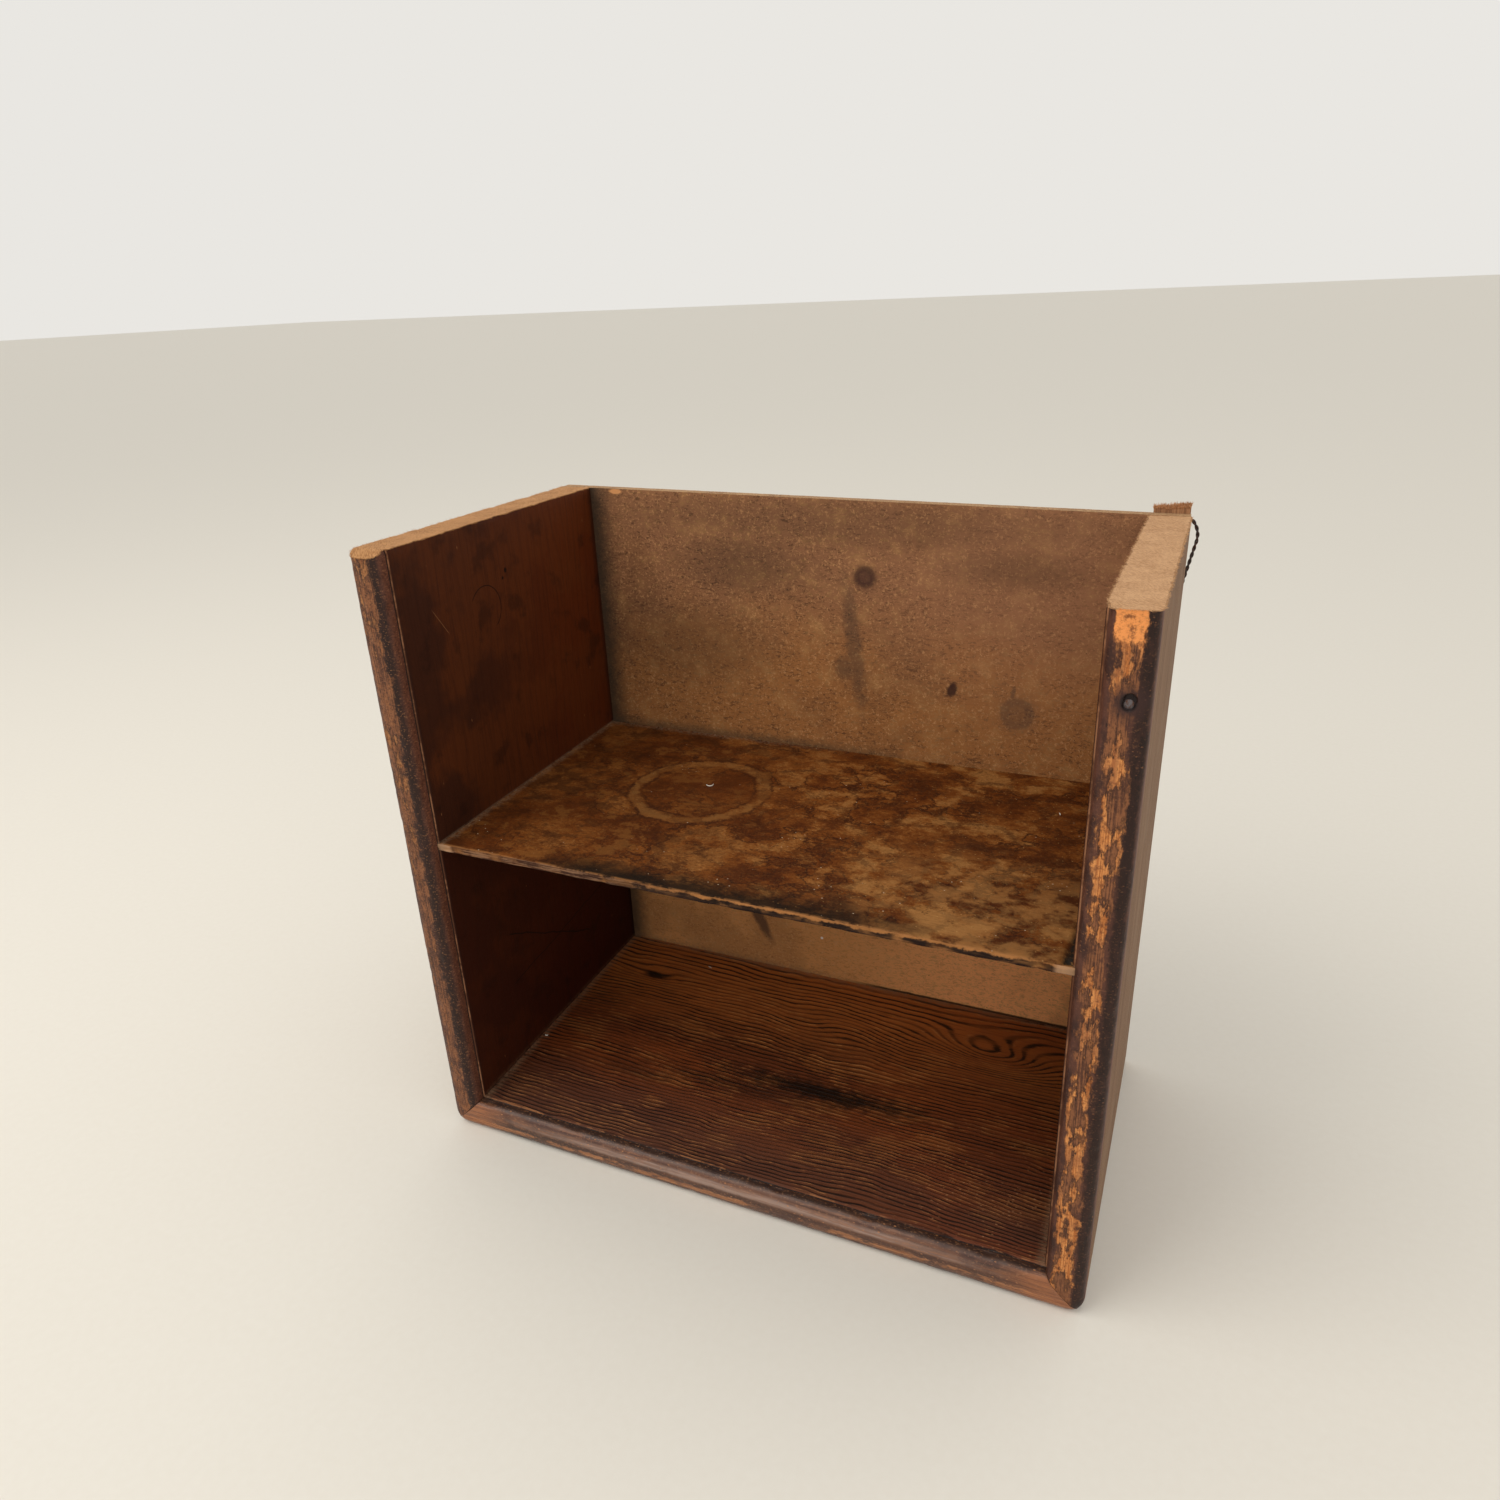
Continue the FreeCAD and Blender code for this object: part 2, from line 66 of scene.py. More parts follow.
def top_at(node, y, reach=0.6):
    """Highest point of a CAD node near one distance from the wall."""
    points = points_mm(node)
    near = np.abs(points[:, 1] - y) < reach
    return points[near, 2].max()


left_low, left_high = corners_mm("left_side")
shelf_low, shelf_high = corners_mm("middle_shelf")
panel_low, panel_high = corners_mm("back_panel")

HALF_WIDTH = -left_low[0]
INNER_X = -left_high[0]
BOARD = HALF_WIDTH - INNER_X
FRONT_Y = left_low[1]
REAR_Y = left_high[1]
DEPTH = REAR_Y - FRONT_Y
SHELF_TOP = shelf_high[2]
SHELF_UNDERSIDE = shelf_low[2]

# ---- the rounded nose ----
CORNER_RADIUS = 8.0      # of the case's lower corners, seen from the front
NOSE_DEPTH = 6.9         # from the crest back to the groove
NOSE_OUTER_DEPTH = 6.0   # from the crest back to the outer face
CREST_INSET = 9.0        # from the inner face to the crest
GROOVE_INSET = 1.0       # from the inner face to the foot of the nose
CREST_ROW = 0.35         # from the crest back to the mesh's first row
CREST_COLUMNS = 14
STEP_FRONT = 0.9         # the rows close up this far in front of the groove
STEP_REAR = 2.6          # and are even again this far behind it
CHIP_LENGTH = 5.5
CHIP_DROP = 3.2
NOSE_BAND = 7            # how far back a side's top is still its nose's top


# ---- smooth random relief ----
LATTICE = 32
LATTICE_SHIFT = 517.3    # keeps every place on the lattice's positive side


def ripple(points, cell, seed):
    """Smooth random values from -1 to 1, about one bump to a cell."""
    lattice = np.random.default_rng(seed).uniform(-1, 1, (LATTICE, LATTICE, LATTICE))
    scaled = np.asarray(points, float) / cell + LATTICE_SHIFT
    base = np.floor(scaled).astype(int)
    share = scaled - base
    share = share * share * (3 - 2 * share)
    total = np.zeros(len(scaled))
    for dx in (0, 1):
        for dy in (0, 1):
            for dz in (0, 1):
                weight = np.where(dx, share[:, 0], 1 - share[:, 0])
                weight = weight * np.where(dy, share[:, 1], 1 - share[:, 1])
                weight = weight * np.where(dz, share[:, 2], 1 - share[:, 2])
                total += weight * lattice[(base[:, 0] + dx) % LATTICE, (base[:, 1] + dy) % LATTICE,
                                          (base[:, 2] + dz) % LATTICE]
    return total


def bump_over(values, level):
    """How far values rise over a level, from 0 to 1."""
    return np.clip((values - level) / (1 - level), 0, 1)


# ---- meshes ----

def shell_of_block(counts):
    """The skin of a block of cells: lattice places, quads, and each quad's side."""
    _, nj, nk = counts
    quads, sides = [], []
    for axis in range(3):
        others = [a for a in range(3) if a != axis]
        p, q = np.meshgrid(np.arange(counts[others[0]]), np.arange(counts[others[1]]),
                           indexing="ij")
        for end in (0, counts[axis]):
            corners = []
            for dp, dq in ((0, 0), (1, 0), (1, 1), (0, 1)):
                place = np.zeros((p.size, 3), int)
                place[:, axis] = end
                place[:, others[0]] = p.ravel() + dp
                place[:, others[1]] = q.ravel() + dq
                corners.append((place[:, 0] * (nj + 1) + place[:, 1]) * (nk + 1) + place[:, 2])
            quads.append(np.stack(corners, 1))
            sides.append(np.full(p.size, axis * 2 + (1 if end else 0)))
    quads = np.concatenate(quads)
    sides = np.concatenate(sides)
    used, flat = np.unique(quads, return_inverse=True)
    quads = flat.reshape(quads.shape)
    lattice = np.stack(
        [used // ((nj + 1) * (nk + 1)), used // (nk + 1) % (nj + 1), used % (nk + 1)], 1)
    return lattice, quads, sides


def outward(mesh):
    """Turn every face of a closed mesh outwards."""
    work = bmesh.new()
    work.from_mesh(mesh)
    bmesh.ops.recalc_face_normals(work, faces=work.faces)
    work.to_mesh(mesh)
    work.free()


def board_mesh(name, points, quads, smooth_angle=40):
    """A mesh from points in millimetres, its faces outwards and smooth."""
    mesh = bpy.data.meshes.new(name)
    mesh.from_pydata((points * MM).tolist(), [], quads.tolist())
    outward(mesh)
    mesh.polygons.foreach_set("use_smooth", np.ones(len(mesh.polygons), bool))
    mesh.set_sharp_from_angle(angle=math.radians(smooth_angle))
    return mesh


def at_points(mesh, what):
    """The places ("co") or unit normals ("normal") of a mesh's points."""
    values = np.zeros(len(mesh.vertices) * 3)
    mesh.vertices.foreach_get(what, values)
    return values.reshape(-1, 3)


def press_in(mesh, depths):
    """Push each point inwards by its depth in millimetres."""
    depths = (np.maximum(depths, 0) * MM)[:, None]
    points = at_points(mesh, "co") - at_points(mesh, "normal") * depths
    mesh.vertices.foreach_set("co", points.ravel())
    mesh.update()


def keep_value(mesh, name, values):
    """Store one number at each point for a finish to read."""
    layer = mesh.attributes.new(name, "FLOAT", "POINT")
    layer.data.foreach_set("value", np.asarray(values, np.float32))


def place_piece(name, mesh, node_names, finishes):
    """A finished piece that stands for CAD nodes."""
    piece = bpy.data.objects.new(name, mesh)
    bpy.context.scene.collection.objects.link(piece)
    for finish in finishes:
        mesh.materials.append(finish)
    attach(piece, "root")
    if node_names:
        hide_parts(*node_names)


# ---- pieces grown along paths by geometry nodes ----

def loose_boxes(node, reach=4.0):
    """The boxes of a CAD node's separate solids, from points near each other across its length."""
    points = points_mm(node)
    along = 2 if node == "corner_nails" else 1
    across = [axis for axis in range(3) if axis != along]
    boxes = []
    rest = points
    while len(rest):
        near = np.linalg.norm(rest[:, across] - rest[0, across], axis=1) < 2 * reach
        group = rest[near]
        boxes.append((group.min(0), group.max(0)))
        rest = rest[~near]
    return boxes


class Grower:
    """A geometry node tree that turns paths into a mesh, with named sizes."""

    def __init__(self, name, sizes):
        self.tree = bpy.data.node_groups.new(name, "GeometryNodeTree")
        self.sockets = {}
        for label, kind in {"Paths": "Geometry", **sizes, "Finish": "Material"}.items():
            made = self.tree.interface.new_socket(label, in_out="INPUT",
                                                  socket_type="NodeSocket" + kind)
            self.sockets[label] = made.identifier
        self.tree.interface.new_socket("Mesh", in_out="OUTPUT", socket_type="NodeSocketGeometry")
        self.given = self.tree.nodes.new("NodeGroupInput").outputs

    def node(self, kind, inputs=None, **settings):
        """A node with its inputs set or linked."""
        made = self.tree.nodes.new(kind)
        for key, value in settings.items():
            setattr(made, key, value)
        for key, value in (inputs or {}).items():
            if isinstance(value, bpy.types.NodeSocket):
                self.tree.links.new(value, made.inputs[key])
            else:
                made.inputs[key].default_value = value
        return made

    def stored(self, name, kind="FLOAT"):
        return self.node("GeometryNodeInputNamedAttribute", {"Name": name},
                         data_type=kind).outputs[0]

    def math(self, operation, first, second=0.0):
        return self.node("ShaderNodeMath", {0: first, 1: second}, operation=operation).outputs[0]

    def vector(self, operation, first, second=None, scale=None):
        inputs = {0: first}
        if second is not None:
            inputs[1] = second
        if scale is not None:
            inputs["Scale"] = scale
        return self.node("ShaderNodeVectorMath", inputs, operation=operation).outputs[0]

    def close(self, geometry):
        """End the tree: real geometry with its finish."""
        real = self.node("GeometryNodeRealizeInstances", {0: geometry})
        painted = self.node("GeometryNodeSetMaterial",
                            {0: real.outputs[0], "Material": self.given["Finish"]})
        end = self.tree.nodes.new("NodeGroupOutput")
        self.tree.links.new(painted.outputs[0], end.inputs[0])

    def grow(self, name, paths, finish, smooth_angle=50, **sizes):
        """The mesh that the tree makes of some paths."""
        holder = bpy.data.objects.new(name + "_paths", paths)
        bpy.context.scene.collection.objects.link(holder)
        modifier = holder.modifiers.new("grow", "NODES")
        modifier.node_group = self.tree
        modifier[self.sockets["Finish"]] = finish
        for label, value in sizes.items():
            modifier[self.sockets[label.replace("_", " ")]] = value
        ready = holder.evaluated_get(bpy.context.evaluated_depsgraph_get())
        mesh = bpy.data.meshes.new_from_object(ready)
        mesh.name = name
        holder.modifiers.remove(modifier)
        bpy.data.objects.remove(holder)
        outward(mesh)
        mesh.polygons.foreach_set("use_smooth", np.ones(len(mesh.polygons), bool))
        mesh.set_sharp_from_angle(angle=math.radians(smooth_angle))
        return mesh


def paths_mesh(name, paths, closed=False, **stored):
    """Paths in millimetres as one mesh of edges, with values stored at their points."""
    mesh = bpy.data.meshes.new(name)
    edges = []
    start = 0
    for path in paths:
        count = len(path)
        edges += [(start + i, start + i + 1) for i in range(count - 1)]
        if closed:
            edges.append((start + count - 1, start))
        start += count
    mesh.from_pydata((np.concatenate(paths) * MM).tolist(), edges, [])
    for label, values in stored.items():
        values = np.asarray(values, np.float32)
        if values.ndim == 1:
            kind, part = "FLOAT", "value"
        else:
            kind, part = "FLOAT_VECTOR", "vector"
        mesh.attributes.new(label, kind, "POINT").data.foreach_set(part, values.ravel())
    return mesh


def round_rods():
    """Round rods along paths, as thick at each point as its stored thickness."""
    g = Grower("round_rods", {"Sides": "Int"})
    curve = g.node("GeometryNodeMeshToCurve", {0: g.given["Paths"]})
    ring = g.node("GeometryNodeCurvePrimitiveCircle",
                  {"Resolution": g.given["Sides"], "Radius": 1.0})
    skin = g.node("GeometryNodeCurveToMesh", {0: curve.outputs[0], 1: ring.outputs[0],
                                              "Scale": g.stored("thickness"), "Fill Caps": True})
    g.close(skin.outputs[0])
    return g


def twisted_pair():
    """Two thin wires twisted round a closed path that lies flat to the wall."""
    g = Grower("twisted_pair",
               {"Strand Radius": "Float", "Turns": "Int", "Sides": "Int", "Points": "Int"})
    curve = g.node("GeometryNodeMeshToCurve", {0: g.given["Paths"]})
    even = g.node("GeometryNodeResampleCurve", {0: curve.outputs[0], "Count": g.given["Points"]})
    share = g.node("GeometryNodeSplineParameter").outputs["Factor"]
    turn = g.math("MULTIPLY", g.math("MULTIPLY", share, g.given["Turns"]), 2 * math.pi)
    to_wall = (0.0, 1.0, 0.0)
    aside = g.vector("CROSS_PRODUCT", g.node("GeometryNodeInputTangent").outputs[0], to_wall)
    ring = g.node("GeometryNodeCurvePrimitiveCircle", {"Resolution": g.given["Sides"],
                                                       "Radius": g.given["Strand Radius"]})
    both = g.node("GeometryNodeJoinGeometry")
    for phase in (0.0, math.pi):
        angle = g.math("ADD", turn, phase)
        sideways = g.vector("SCALE", aside, scale=g.math("COSINE", angle))
        outwards = g.vector("SCALE", to_wall, scale=g.math("SINE", angle))
        offset = g.vector("SCALE", g.vector("ADD", sideways, outwards),
                          scale=g.given["Strand Radius"])
        strand = g.node("GeometryNodeSetPosition", {0: even.outputs[0], "Offset": offset})
        skin = g.node("GeometryNodeCurveToMesh", {0: strand.outputs[0], 1: ring.outputs[0]})
        g.tree.links.new(skin.outputs[0], both.inputs[0])
    g.close(both.outputs[0])
    return g


def torn_fibres():
    """Short pointed fibres that stand along paths and lean the stored way."""
    g = Grower("torn_fibres", {"Count": "Int", "Length": "Float", "Thickness": "Float",
                               "Scatter": "Float", "Seed": "Int"})
    curve = g.node("GeometryNodeMeshToCurve", {0: g.given["Paths"]})
    points = g.node("GeometryNodeCurveToPoints", {0: curve.outputs[0], "Count": g.given["Count"]})
    fibre = g.node("GeometryNodeMeshCone", {"Vertices": 4, "Radius Top": 0.08, "Radius Bottom": 1.0,
                                            "Depth": 1.0})

    def drawn(low, high, step, kind):
        made = g.node("FunctionNodeRandomValue", {"Seed": g.math("ADD", g.given["Seed"], step)},
                      data_type=kind)
        pins = (0, 1) if kind == "FLOAT_VECTOR" else (2, 3)
        made.inputs[pins[0]].default_value = low
        made.inputs[pins[1]].default_value = high
        return made.outputs[0 if kind == "FLOAT_VECTOR" else 1]
    stray = g.vector("SCALE", drawn((-1, -1, -1), (1, 1, 1), 1, "FLOAT_VECTOR"),
                     scale=g.given["Scatter"])
    lean = g.vector("ADD", g.stored("lean", "FLOAT_VECTOR"), stray)
    turn = g.node("FunctionNodeAlignRotationToVector", {"Vector": lean}, axis="Z")
    length = g.math("MULTIPLY", g.given["Length"], drawn(0.3, 1.0, 2, "FLOAT"))
    thick = g.math("MULTIPLY", g.given["Thickness"], drawn(0.5, 1.0, 3, "FLOAT"))
    size = g.node("ShaderNodeCombineXYZ", {0: thick, 1: thick, 2: length})
    shift = g.node("GeometryNodeSetPosition", {0: points.outputs[0], "Offset": g.vector(
        "SCALE", drawn((-1, -1, 0), (1, 1, 0), 4, "FLOAT_VECTOR"), scale=g.given["Thickness"])})
    placed = g.node("GeometryNodeInstanceOnPoints",
                    {0: shift.outputs[0], "Instance": fibre.outputs[0],
                     "Rotation": turn.outputs[0], "Scale": size.outputs[0]})
    g.close(placed.outputs[0])
    return g


ROD = round_rods()
PAIR = twisted_pair()
FIBRES = torn_fibres()
ROD_SIDES = 14


def nail_path(head, along, length, head_radius, shank_radius, head_thickness):
    """Points and thicknesses of one nail, from the middle of its head to its tip."""
    steps = [(0.0, 0.5 * head_radius), (0.1, 0.84 * head_radius), (0.35, head_radius),
             (0.8, head_radius), (1.0, 0.9 * head_radius), (1.1, shank_radius)]
    depths = [share * head_thickness for share, _ in steps] + [length - 3 * shank_radius, length]
    radii = [radius for _, radius in steps] + [shank_radius, 0.15 * shank_radius]
    return head + np.outer(depths, along), radii


def nail_row(name, node, along, head_radius, shank_radius, head_thickness, finish):
    """All nails of a CAD node, each where its solid is."""
    along = np.array(along, float)
    paths, radii = [], []
    for low, high in loose_boxes(node):
        middle = (low + high) / 2
        half = np.abs(along) @ (high - low) / 2
        path, thick = nail_path(middle - along * half, along, 2 * half, head_radius, shank_radius,
                                head_thickness)
        paths.append(path)
        radii += thick
    mesh = ROD.grow(name, paths_mesh(name, paths, thickness=np.array(radii) * MM), finish,
                    smooth_angle=35, Sides=ROD_SIDES)
    place_piece(name, mesh, [node], [])


def arc(middle, start, end, radius, steps):
    """Points of an arc in the plane of the wall, angles in degrees from +X."""
    angles = np.radians(np.linspace(start, end, steps))
    return np.stack([middle[0] + radius * np.cos(angles), np.full(steps, middle[1]),
                     middle[2] + radius * np.sin(angles)], 1)


LOOP_WIRE = 1.8          # thickness of the twisted pair
LOOP_NAIL_SHANK = 1.3
LOOP_TURNS = 21
LOOP_POINTS = 300
STRAND_SIDES = 8
STAPLE_WIRE = 0.8
STAPLE_BEND = 1.8


def hanging_loop(name, node, nail_x, nail_z, finish):
    """A loop of two twisted strands: a wide eye above, a narrow turn round its nail."""
    low, high = corners_mm(node)
    strand = LOOP_WIRE / 4
    eye_radius = (high[0] - low[0] - LOOP_WIRE) / 2
    foot_radius = LOOP_NAIL_SHANK + LOOP_WIRE / 2
    middle_y = (low[1] + high[1]) / 2
    eye = np.array([nail_x, middle_y, high[2] - LOOP_WIRE / 2 - eye_radius])
    foot = np.array([nail_x, middle_y, nail_z])
    lean = math.degrees(math.asin((eye_radius - foot_radius) / (eye[2] - foot[2])))
    over = arc(eye, -lean, 180 + lean, eye_radius, 40)
    under = arc(foot, 180 + lean, 360 - lean, foot_radius, 14)
    paths = paths_mesh(name, [np.concatenate([over, under])], closed=True)
    mesh = PAIR.grow(name, paths, finish, Strand_Radius=strand * MM, Turns=LOOP_TURNS,
                     Sides=STRAND_SIDES, Points=LOOP_POINTS)
    place_piece(name, mesh, [node], [])


def loop_staples(finish):
    """Bent wire staples that hold the loops, their points cut to chisels."""
    wire, bend = STAPLE_WIRE, STAPLE_BEND
    paths, radii = [], []
    low, high = corners_mm("loop_staples")
    for side in (-1, 1):
        points = points_mm("loop_staples")
        points = points[points[:, 0] * side > 0]
        first, last = points[:, 0].min() + wire, points[:, 0].max() - wire
        height = (low[2] + high[2]) / 2
        crown = high[1] - wire
        legs = [low[1], low[1] + 2.4, crown - bend]
        turn = np.radians(np.linspace(0, 90, 7))
        left = np.stack([first + bend * (1 - np.cos(turn)), crown - bend + bend * np.sin(turn),
                         np.full(7, height)], 1)
        right = left[::-1] * (-1, 1, 1) + (first + last, 0, 0)
        start = np.array([[first, y, height] for y in legs[:2]])
        end = np.array([[last, y, height] for y in legs[1::-1]])
        path = np.concatenate([start, left, right, end])
        thick = np.full(len(path), wire)
        thick[[0, -1]] = 0.3 * wire
        paths.append(path)
        radii.append(thick)
    lines = paths_mesh("loop_staple_pair", paths, thickness=np.concatenate(radii) * MM)
    mesh = ROD.grow("loop_staple_pair", lines, finish, Sides=ROD_SIDES)
    place_piece("loop_staple_pair", mesh, ["loop_staples"], [])


def rim_fibres(name, paths, leans, finish, seed, count, length, thickness, scatter):
    """Torn fibres along the rim of a saw cut."""
    mesh = paths_mesh(name, paths, lean=np.concatenate(leans))
    made = FIBRES.grow(name, mesh, finish, smooth_angle=30, Count=count, Length=length * MM,
                       Thickness=thickness * MM, Scatter=scatter, Seed=seed)
    place_piece(name, made, [], [])


def sink(mesh, middle, axis, reach, profile, cuts=4):
    """Refine a mesh round a point and push it in along an axis by profile(a, b) in millimetres."""
    work = bmesh.new()
    work.from_mesh(mesh)
    others = [a for a in range(3) if a != abs(axis) - 1]
    middle = np.array(middle, float)
    spot = Vector(middle * MM)
    edges = set()
    for face in work.faces:
        centre = face.calc_center_median()
        if (centre - spot).length < reach * MM:
            edges.update(face.edges)
    bmesh.ops.subdivide_edges(work, edges=list(edges), cuts=cuts, use_grid_fill=True)
    for vertex in work.verts:
        if (vertex.co - spot).length < 1.5 * reach * MM:
            a, b = [(vertex.co[o] / MM - middle[o]) for o in others]
            vertex.co[abs(axis) - 1] += math.copysign(profile(a, b), axis) * MM
    work.to_mesh(mesh)
    work.free()


def step_down(distance, radius, soft):
    """1 inside a radius and 0 outside it, with a soft wall."""
    share = min(max((radius + soft / 2 - distance) / soft, 0), 1)
    return share * share * (3 - 2 * share)


# ---- finishes: node trees written as sums ----

def tint(red, green, blue):
    """A linear colour from everyday 0 to 255 values."""
    parts = []
    for value in (red, green, blue):
        share = value / 255
        parts.append(share / 12.92 if share <= 0.04045 else ((share + 0.055) / 1.055) ** 2.4)
    return (*parts, 1.0)


class Tone:
    """A value in a finish, which can be added to, scaled or turned round."""

    def __init__(self, finish, socket):
        self.finish = finish
        self.socket = socket

    def __add__(self, other):
        return self.finish.math("ADD", self, other)

    def __radd__(self, other):
        return self.finish.math("ADD", self, other)

    def __sub__(self, other):
        return self.finish.math("SUBTRACT", self, other)

    def __rsub__(self, other):
        return self.finish.math("SUBTRACT", other, self)

    def __mul__(self, other):
        return self.finish.math("MULTIPLY", self, other)

    def __rmul__(self, other):
        return self.finish.math("MULTIPLY", self, other)

    def __truediv__(self, other):
        return self.finish.math("DIVIDE", self, other)


class Finish:
    """One material, painted layer over layer. Lengths are in millimetres."""

    def __init__(self, name):
        self.material = bpy.data.materials.new(name)
        self.material.use_nodes = True
        self.tree = self.material.node_tree
        self.tree.nodes.clear()
        place = self.node("TexCoord").outputs["Object"]
        scaled = self.node("VectorMath", {0: Tone(self, place), "Scale": 1 / MM}, operation="SCALE")
        self.place = Tone(self, scaled.outputs[0])
        self.x, self.y, self.z = self.split(self.place)

    def node(self, kind, inputs=None, **settings):
        made = self.tree.nodes.new("ShaderNode" + kind)
        for key, value in settings.items():
            setattr(made, key, value)
        for key, value in (inputs or {}).items():
            if isinstance(value, Tone):
                self.tree.links.new(value.socket, made.inputs[key])
            else:
                made.inputs[key].default_value = value
        return made

    def math(self, operation, first, second=0.0):
        return Tone(self, self.node("Math", {0: first, 1: second}, operation=operation).outputs[0])

    def split(self, vector):
        made = self.node("SeparateXYZ", {0: vector})
        return [Tone(self, made.outputs[i]) for i in range(3)]

    def join(self, x, y, z):
        return Tone(self, self.node("CombineXYZ", {0: x, 1: y, 2: z}).outputs[0])

    def stored(self, name):
        made = self.node("Attribute", attribute_name=name)
        return Tone(self, made.outputs["Fac"])

    def stretched(self, sizes, shift):
        """The place with one unit to each given length in millimetres."""
        made = self.node("VectorMath", {0: self.place, 1: tuple(1 / s for s in sizes), 2: shift},
                         operation="MULTIPLY_ADD")
        return Tone(self, made.outputs[0])

    def mottle(self, sizes, seed=0.0, detail=3.0, rough=0.55, warp=0.0):
        """Random patches, from 0 to 1, of the given sizes in X, Y and Z."""
        if not isinstance(sizes, tuple):
            sizes = (sizes, sizes, sizes)
        where = self.stretched(sizes, (seed * 7.31, seed * 3.17, seed * 5.93))
        made = self.node("TexNoise", {"Vector": where, "Scale": 1.0, "Detail": detail,
                                      "Roughness": rough, "Distortion": warp})
        return Tone(self, made.outputs[0])

    def cells(self, sizes, seed=0.0, feature="F1"):
        """Distance to the nearest of many scattered points, in cell sizes."""
        where = self.stretched(sizes, (seed * 4.7, seed * 9.1, seed * 2.3))
        made = self.node("TexVoronoi", {"Vector": where, "Scale": 1.0}, feature=feature)
        return Tone(self, made.outputs["Distance"])

    def between(self, value, low, high):
        """0 below low, 1 above high, and smooth between. Works downwards too."""
        made = self.node("MapRange", {0: value, 1: low, 2: high}, interpolation_type="SMOOTHSTEP")
        return Tone(self, made.outputs[0])

    def near(self, value, reach, core):
        """1 where a value is near 0, and 0 past the reach."""
        return self.between(self.math("ABSOLUTE", value), reach, core)

    def most(self, first, second):
        return self.math("MAXIMUM", first, second)

    def spot(self, across, up, middle, radii, edge=0.25, ragged=None):
        """A soft-edged oval patch."""
        a = (across - middle[0]) / radii[0]
        b = (up - middle[1]) / radii[1]
        distance = self.math("SQRT", a * a + b * b)
        if ragged is not None:
            distance = distance + ragged
        return self.between(distance, 1 + edge, 1 - edge)

    def ring(self, across, up, middle, radius, width, ragged=None):
        """A round line of the given radius and half width."""
        a = across - middle[0]
        b = up - middle[1]
        distance = self.math("SQRT", a * a + b * b)
        if ragged is not None:
            distance = distance + ragged
        return self.near(distance - radius, width, width * 0.3)

    def stroke(self, across, up, start, end, width, ragged=None):
        """A thin line from start to end."""
        run = math.hypot(end[0] - start[0], end[1] - start[1])
        ux, uy = (end[0] - start[0]) / run, (end[1] - start[1]) / run
        a = across - start[0]
        b = up - start[1]
        along = a * ux + b * uy
        off = b * ux - a * uy
        if ragged is not None:
            off = off + ragged
        inside = self.between(along, -1.0, 3.0) * self.between(along, run + 1, run - 3)
        return self.near(off, width, width * 0.3) * inside

    def lay(self, under, over, cover):
        """One colour laid over another where cover is 1."""
        made = self.node("Mix", data_type="RGBA")
        for index, value in ((0, cover), (6, under), (7, over)):
            if isinstance(value, Tone):
                self.tree.links.new(value.socket, made.inputs[index])
            else:
                made.inputs[index].default_value = value
        return Tone(self, made.outputs[2])

    def shade(self, colour, factor):
        """A colour made lighter or darker by a factor."""
        made = self.node("VectorMath", {0: colour, "Scale": factor}, operation="SCALE")
        return Tone(self, made.outputs[0])

    def done(self, colour, roughness, relief=None, relief_height=0.2, specular=0.5, metallic=0.0):
        """Close the finish. relief is 0 to 1 and relief_height its real height."""
        shader = self.node("BsdfPrincipled", {
            "Base Color": colour, "Roughness": roughness, "Metallic": metallic,
            "Specular IOR Level": specular})
        if relief is not None:
            bump = self.node("Bump",
                             {"Height": relief, "Strength": 1.0, "Distance": relief_height * MM})
            self.tree.links.new(bump.outputs[0], shader.inputs["Normal"])
        out = self.node("OutputMaterial")
        self.tree.links.new(shader.outputs[0], out.inputs[0])
        return self.material


# ---- the three nosed boards ----

def inner_flank(back):
    """Inset of the nose's inner flank at a distance behind the crest."""
    share = np.clip(1 - back / NOSE_DEPTH, 0, 1)
    inset = CREST_INSET - (CREST_INSET - GROOVE_INSET) * np.cbrt(1 - share ** 3)
    groove = 0.45 * np.exp(-((back - NOSE_DEPTH + 0.1) / 0.22) ** 2)
    arris = np.interp(back, [NOSE_DEPTH, NOSE_DEPTH + 0.14, NOSE_DEPTH + 0.35, NOSE_DEPTH + 0.8],
                      [1, 0.42, 0.12, 0])
    return np.where(back <= NOSE_DEPTH, inset + groove, (GROOVE_INSET + 0.3) * arris)


def outer_flank(back):
    """Inset of the nose's outer flank at a distance behind the crest."""
    share = np.clip(1 - back / NOSE_OUTER_DEPTH, 0, 1)
    return CREST_INSET + (BOARD - CREST_INSET) * np.cbrt(1 - share ** 3)


def crest_back(inset):
    """How far the crest lies back at an inset."""
    inner = np.clip((CREST_INSET - inset) / (CREST_INSET - GROOVE_INSET), 0, 1)
    outer = np.clip((inset - CREST_INSET) / (BOARD - CREST_INSET), 0, 1)
    return (NOSE_DEPTH * (1 - np.cbrt(1 - inner ** 3))
            + NOSE_OUTER_DEPTH * (1 - np.cbrt(1 - outer ** 3)))


def nose_rounds():
    """Distance round the nose from its groove to the crest's middle, and to its end."""
    inner = np.linspace(NOSE_DEPTH, CREST_ROW, 200)
    crest = np.linspace(inner_flank(CREST_ROW), outer_flank(CREST_ROW), 200)
    outer = np.linspace(CREST_ROW, NOSE_OUTER_DEPTH, 200)
    flank = np.hypot(np.diff(inner_flank(inner)), np.diff(inner)).sum()
    steps = np.hypot(np.diff(crest), np.diff(crest_back(crest)))
    middle = flank + steps[crest[1:] < CREST_INSET].sum()
    end = flank + steps.sum() + np.hypot(np.diff(outer_flank(outer)), np.diff(outer)).sum()
    return float(middle), float(end)


CREST_ROUND, NOSE_ROUND = nose_rounds()


